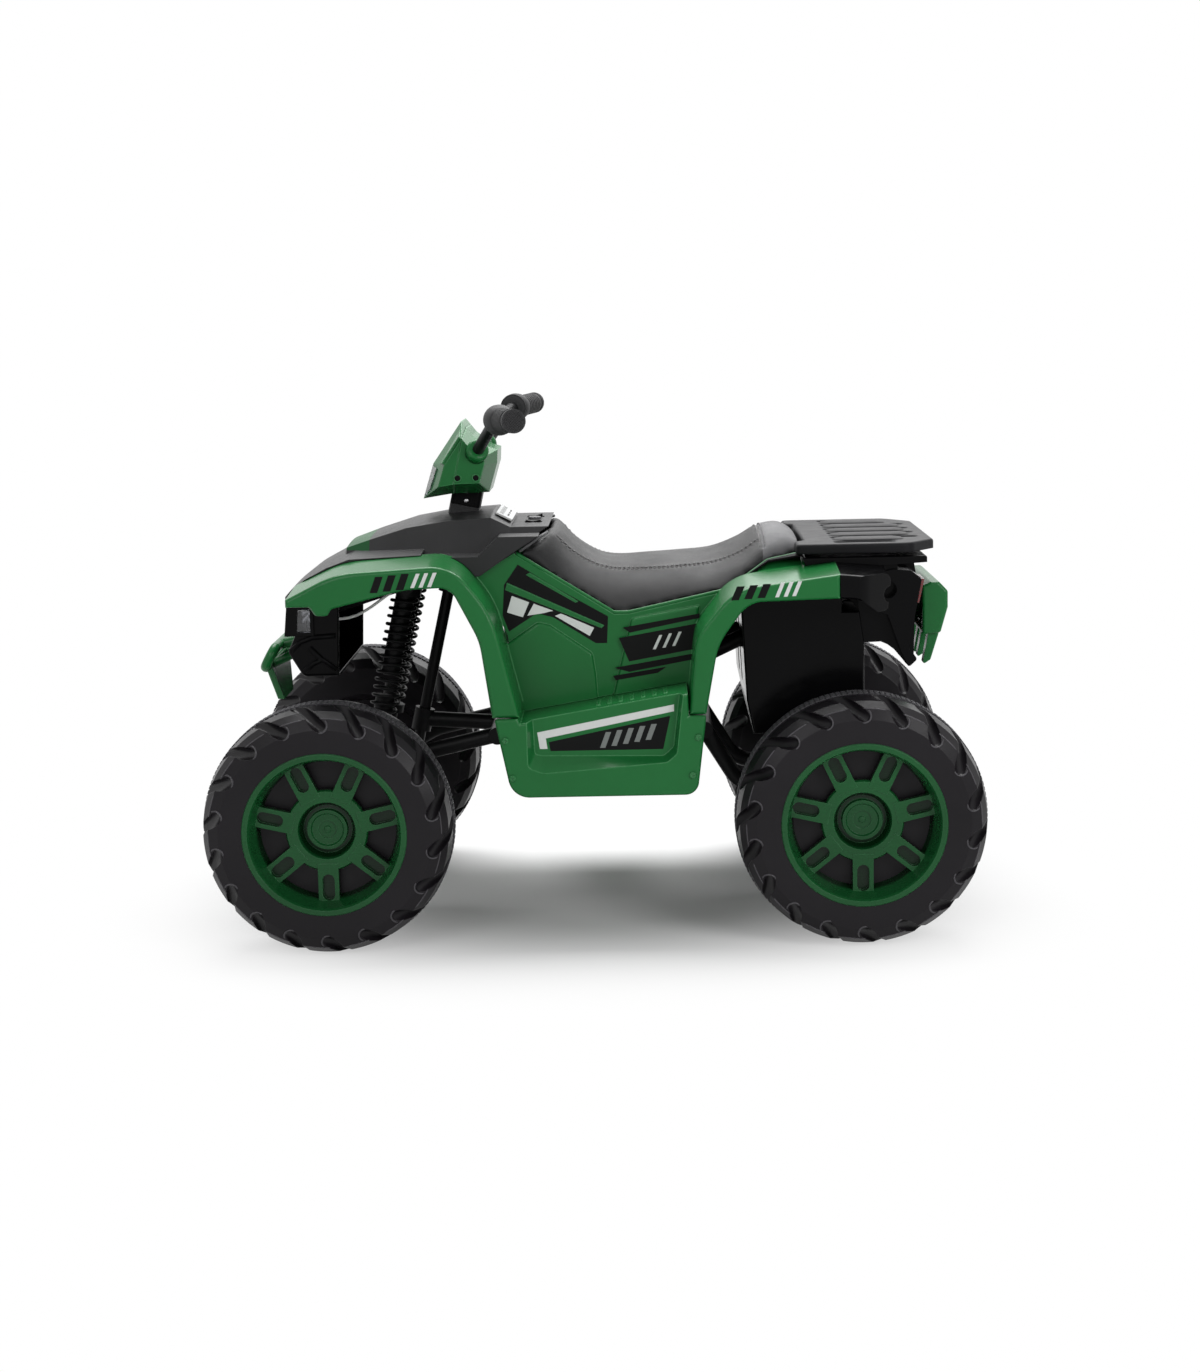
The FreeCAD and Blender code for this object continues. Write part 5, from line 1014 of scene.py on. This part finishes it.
def bar_cover_parts():
    """Lamp strip, bright facet, bar collar, screw wells and column screw of the handlebar cover."""
    strip = cover_plate(0, [(0.06, 0.08, 1.4), (0.94, 0.08, 1.4), (0.84, 0.5, 1.8), (0.14, 0.42, 1.8)])
    pair("cover_lamp", strip, "clear_lens", "steering", smooth=False)
    facet = cover_plate(1, [(0.02, 0.6, 0.2), (0.96, 0.36, 0.2), (0.98, 0.94, 4.2), (0.02, 0.98, 4.2)])
    pair("cover_facet", facet, "body_green", "steering", smooth=False)
    knee_rise = 63.6
    collar_start = 24
    knee = Vector((STEER_POINT.x, -66, STEER_POINT.z)) + STEER_UP * knee_rise
    way = (BAR_BEND - knee).normalized()
    collar = Shape()
    collar.turned(knee + way * collar_start, way,
                  [(0, 15.5), (12, 15.5), (14.5, 14.2), (15.5, 12), (15.5, 9)])
    pair("bar_collar", collar, "body_green", "steering")
    rims = Shape()
    wells = Shape()
    for x, z in front_line((169, 441), (194, 441)):
        place = Vector((x, -COVER_Y, z))
        rims.turned(place, OUTWARD, [(-1, 6), (0.8, 5.8), (1.4, 5.2), (1.4, 4.2), (0.4, 3.9)])
        wells.turned(place, OUTWARD, [(-1, 3.9), (0.6, 3.9), (0.9, 3.2), (0.5, 1.6)])
    pair("cover_rims", rims, "body_green", "steering")
    pair("cover_screws", wells, "gloss_black", "steering")
    stud = Shape()
    stud.turned(Vector((fx(175), -23, hz(405))), OUTWARD, [(-1, 3.2), (0.7, 3.2), (1.4, 2.6), (1.7, 1.3)])
    pair("column_screw", stud, "zinc_steel", "steering")


def grips():
    """Swollen inner end and knurled cap of each grip."""
    cap_rise = 4
    bulb_back = 112
    bulb_profile = [(-1, 13), (0, 17.6), (3, 19.9), (13, 20.3), (23, 19.4), (31, 17.4), (36, 15.9),
                    (37, 14.6)]
    way = (BAR_TIP - BAR_BEND).normalized()
    cap = BAR_TIP + way * cap_rise
    bulb = Shape()
    bulb.turned(cap - way * bulb_back, way, bulb_profile, sides=56)
    pair("grip_bulb", bulb, "grip_rubber", "steering")
    pitch = 2.6
    knurl_r = 13.4
    half = 1.2
    sunk = 0.4
    top_share = 0.3
    rise = 0.9
    rows = range(-5, 6)
    knurl = Shape()
    side = way.orthogonal().normalized()
    other = way.cross(side)
    for row in rows:
        for column in rows:
            across = side * (pitch * row) + other * (pitch * column)
            if across.length > knurl_r:
                continue
            foot = [cap + across + side * (half * turn_x) + other * (half * turn_y) - way * sunk
                    for turn_x, turn_y in ((-1, -1), (1, -1), (1, 1), (-1, 1))]
            top = [cap + across + (corner - cap - across + way * sunk) * top_share + way * rise
                   for corner in foot]
            knurl.prism(foot, top)
    pair("grip_knurl", knurl, "grip_rubber", "steering", smooth=False)


def sloped(start, end):
    """Directions along a slope of the side view and square to it."""
    slope = (end - start).normalized()
    return slope, Vector((-slope.z, 0, slope.x))


def dash_marks():
    """Scale ticks and dashes on the pale dash plate."""
    plate_lift = 5.8
    thick = 0.35
    start = Vector((fx(214), 0, hz(388)))
    slope, lift = sloped(start, Vector((fx(240), 0, hz(375))))
    shape = Shape()
    # Rows: start and end down the slope, y and width across it
    marks = [(7, 13, -52 + 13 * index, 3) for index in range(9)]
    marks.extend([(18, 20.5, -46, 26), (18, 20.5, -8, 16), (18, 20.5, 20, 26)])
    for low, high, y, wide in marks:
        foot = [start + slope * place + lift * plate_lift + Vector((0, y + shift, 0))
                for place, shift in ((low, 0), (high, 0), (high, wide), (low, wide))]
        shape.prism(foot, [point + lift * thick for point in foot])
    look, slot_name = BLACK_FILM
    solid("dash_marks", shape, slot_name, "chassis", look, smooth=False)


def front_parts():
    """Rims round the headlight lenses and braces on the cheeks of the fascia."""
    rim_y = -148.2
    rim_depth = 4
    brace_y = -149.0
    brace_r = 3.6
    outer = front_line((-67, 236.5), (-27, 236.5), (-27, 277), (-63, 277))
    inner = front_line((-50, 241), (-31, 241), (-31, 273), (-48, 273))
    rim = Shape()
    rim.frame(flat(outer, rim_y), flat(inner, rim_y), OUTWARD * rim_depth)
    pair("lamp_rim", rim, "gloss_black", "chassis", smooth=False)
    braces = Shape()
    for line in (front_line((-60, 216), (-46, 228), (-30, 234), (2, 236)),
                 front_line((-34, 220), (-18, 204), (2, 190)),
                 front_line((-42, 188), (-30, 198), (-18, 204))):
        braces.tube(flat(line, brace_y), brace_r, 14)
    pair("fascia_brace", braces, "satin_black", "chassis")


def tread_ribs():
    """Grip ribs across the sloping top of each footboard."""
    rib_count = 7
    first = 100
    pitch = 15
    wide = 6
    inner_y = -190
    outer_y = -240
    sunk = 0.5
    rise = 1.3
    top_share = 0.86
    start = Vector((fx(255), 0, hz(132)))
    slope, lift = sloped(start, Vector((rx(-224), 0, hz(167.5))))
    shape = Shape()
    for index in range(rib_count):
        foot = []
        for place, y in ((0, inner_y), (wide, inner_y), (wide, outer_y), (0, outer_y)):
            foot.append(start + slope * (first + pitch * index + place) - lift * sunk + Vector((0, y, 0)))
        middle = sum(foot, Vector()) / len(foot)
        shape.prism(foot, [middle + (point - middle) * top_share + lift * rise for point in foot])
    pair("tread_ribs", shape, "body_green", "chassis", smooth=False)


def polar(radius, y, turn):
    """Point of a wheel about its hub, turned by degrees from the lowest place."""
    angle = radians(turn)
    return Vector((radius * sin(angle), y, -radius * cos(angle)))


def lug_lips():
    """Moulded lips on the outer shoulder of each tyre: a crescent below every groove, a ledge between two,
    paler than the tyre as a painted highlight.
    """
    lug_count = 18
    pitch = 360 / lug_count
    groove_start = (143.0, -64.0)
    groove_end = (168.5, -20.0)
    groove_skew = 13.0
    lip_r = 9.0
    lip_wire = 1.1
    lip_turns = [15 * step for step in range(-5, 6)]
    ledge_place = (151.6, -55.8)
    ledge_start = 8.8
    ledge_span = 11.6
    ledge_steps = 8
    ledge_wire = 0.9
    wire_sides = 8
    clear = 20
    for place, hub in (("front", FRONT_HUB), ("rear", REAR_HUB)):
        tree = surface(nodes[place + "_left_tyre"].data)
        shape = Shape()
        for index in range(lug_count):
            turn = pitch * index
            near = polar(*groove_start, turn)
            back = near - polar(*groove_end, turn + groove_skew)
            back.y = 0
            back.normalize()
            across = Vector((back.z, 0, -back.x))
            crescent = []
            for lip_turn in lip_turns:
                angle = radians(lip_turn)
                spot = hub + near + (back * cos(angle) + across * sin(angle)) * lip_r
                hit = tree.ray_cast((spot + OUTWARD * clear) * MM, -OUTWARD)
                crescent.append(hit[0] / MM)
            shape.tube(crescent, lip_wire, wire_sides, ends=True)
            ledge = [hub + polar(*ledge_place, turn + ledge_start + ledge_span * step / ledge_steps)
                     for step in range(ledge_steps + 1)]
            shape.tube(ledge, ledge_wire, wire_sides, ends=True)
        for side, sign in SIDES:
            name = place + "_" + side
            solid(name + "_lug_lips", shape, "tyre_plastic", name + "_wheel", LIP_HIGHLIGHT_LOOK, sign=sign)


def seat_skirts():
    """Green slope from the top of each rear fender up to the rear of the seat."""
    fender_top = rear_line((-178, 290), (-152, 309), (-24, 326))
    fender_y = -171
    fender_sunk = 1.5
    seat_tuck = 1
    seat_lift = 0.6
    spacing = 5
    under = Vector((0, 1.5, -2.5))
    rings = []
    for step in range(23):
        x = rx(-172) + spacing * step
        low = Vector((x, fender_y, straight(fender_top, x) - fender_sunk))
        high = Vector((x, -smooth_section(x)[2] + seat_tuck, straight(FLOOR_LINE, x) + seat_lift))
        rings.append([low, high, high + under, low + under])
    shape = Shape()
    shape.rings(rings)
    pair("seat_skirt", shape, "body_green", "chassis", smooth=False)


def rear_liners():
    """Black liner behind each rear wheel, from the inner body to the tail."""
    inner_y = -156
    outer_y = -160
    outline = rear_line((8, 300), (8, 214), (38, 215), (47, 211), (56, 204), (65, 193), (72, 184),
                        (82, 188), (84, 262), (66, 308))
    shape = Shape()
    shape.prism(flat(outline, inner_y), flat(outline, outer_y))
    pair("rear_liner", shape, "gloss_black", "chassis", smooth=False)


def rack_slats():
    """Rounded crowns on the lengthwise slats of the rack, drooping at their rear ends."""
    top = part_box("rear_rack")[1].z / MM
    half = 19
    crown = 4.2
    crown_sunk = 0.6
    foot_sunk = 3
    arc_steps = 12
    shape = Shape()
    for y, end in ((0, 88), (-62, 88), (62, 88), (-124, 74), (124, 74)):
        rings = []
        for place, share, drop in ((-26, 0.35, 2.2), (-20, 0.8, 0.6), (-8, 1.0, 0.0), (end - 16, 1.0, 0.0),
                                   (end - 5, 0.85, 0.8), (end + 3, 0.5, 3.0)):
            ring = []
            for step in range(arc_steps + 1):
                angle = pi * step / arc_steps
                ring.append(Vector((rx(place), y - half * share * cos(angle),
                                    top - crown_sunk - drop + crown * share * sin(angle))))
            for sign in (1, -1):
                ring.append(Vector((rx(place), y + sign * half * share, top - foot_sunk - drop)))
            rings.append(ring)
        shape.rings(rings)
    solid("rack_slats", shape, "satin_black", "chassis", RACK_LOOK)


bar_cover_parts()
grips()
dash_marks()
front_parts()
tread_ribs()
lug_lips()
seat_skirts()
rear_liners()
rack_slats()


# Studio
WHITE = (1, 1, 1, 1)


def seen_rays(tree):
    """Share of rays that show in the picture, straight or by way of gloss or a lens."""
    rays = tree.nodes.new("ShaderNodeLightPath").outputs
    bent = calc(tree, "MAXIMUM", rays["Is Glossy Ray"], rays["Is Transmission Ray"])
    return calc(tree, "MAXIMUM", rays["Is Camera Ray"], bent)


def floor():
    """Pale floor that keeps the shadow near the object and fades to white away from it."""
    look, tree, shader, place = new_look("studio_floor")
    flat_place = stretched(tree, place, 1.0, 1.3, 0.0)
    far = add(tree, "VectorMath", {0: flat_place}, "Value", operation="LENGTH")
    fade = spread(tree, far, 0.2, 0.78, interpolation_type="SMOOTHSTEP")
    mottle = noise(tree, place, scale=3.0)
    fill(tree, shader, {
        "Base Color": mixed(tree, mottle, tone(229, 229, 229), tone(233, 233, 233)),
        "Roughness": 0.9, "Specular IOR Level": 0.0
    })
    glow = add(tree, "Emission", {"Color": WHITE, "Strength": 1.0})
    share = calc(tree, "MULTIPLY", seen_rays(tree), fade)
    both = add(tree, "MixShader", {0: share, 1: shader.outputs[0], 2: glow})
    out = next(node for node in tree.nodes if node.type == "OUTPUT_MATERIAL")
    tree.links.new(both, out.inputs["Surface"])
    mesh = bpy.data.meshes.new("studio_floor")
    work = bmesh.new()
    bmesh.ops.create_circle(work, cap_ends=True, segments=96, radius=9.0)
    work.to_mesh(mesh)
    work.free()
    mesh.materials.append(look)
    ground = placed("studio_floor", mesh)


def sky():
    """White where it is seen, and a dimmer light on everything else."""
    world = bpy.data.worlds.new("studio")
    scene.world = world
    world.use_nodes = True
    tree = world.node_tree
    tree.nodes.clear()
    ambient = add(tree, "Background", {"Color": WHITE, "Strength": 0.25})
    white = add(tree, "Background", {"Color": WHITE, "Strength": 1.0})
    both = add(tree, "MixShader", {0: seen_rays(tree), 1: ambient, 2: white})
    out = tree.nodes.new("ShaderNodeOutputWorld")
    tree.links.new(both, out.inputs["Surface"])


def softbox(name, place, aim, wide, high, power):
    data = bpy.data.lights.new(name, "AREA")
    data.shape = "RECTANGLE"
    data.size = wide
    data.size_y = high
    data.energy = power
    lamp = placed(name, data)
    lamp.location = place
    lamp.rotation_euler = (Vector(aim) - Vector(place)).to_track_quat("-Z", "Y").to_euler()


floor()
sky()
# Rows: name, place, aim, width, height, watts
for light in (("top_light", (0.0, 0.9, 2.5), (0.0, 0.0, 0.3), 2.4, 1.8, 96.0),
              ("front_light", (-1.2, -3.2, 1.9), (0.0, 0.0, 0.3), 1.8, 1.4, 23.0),
              ("side_light", (1.3, -1.8, 1.1), (0.05, -0.27, 0.3), 0.8, 1.0, 16.0),
              ("back_light", (0.8, 2.8, 2.0), (0.0, 0.0, 0.4), 2.0, 1.2, 14.0)):
    softbox(*light)
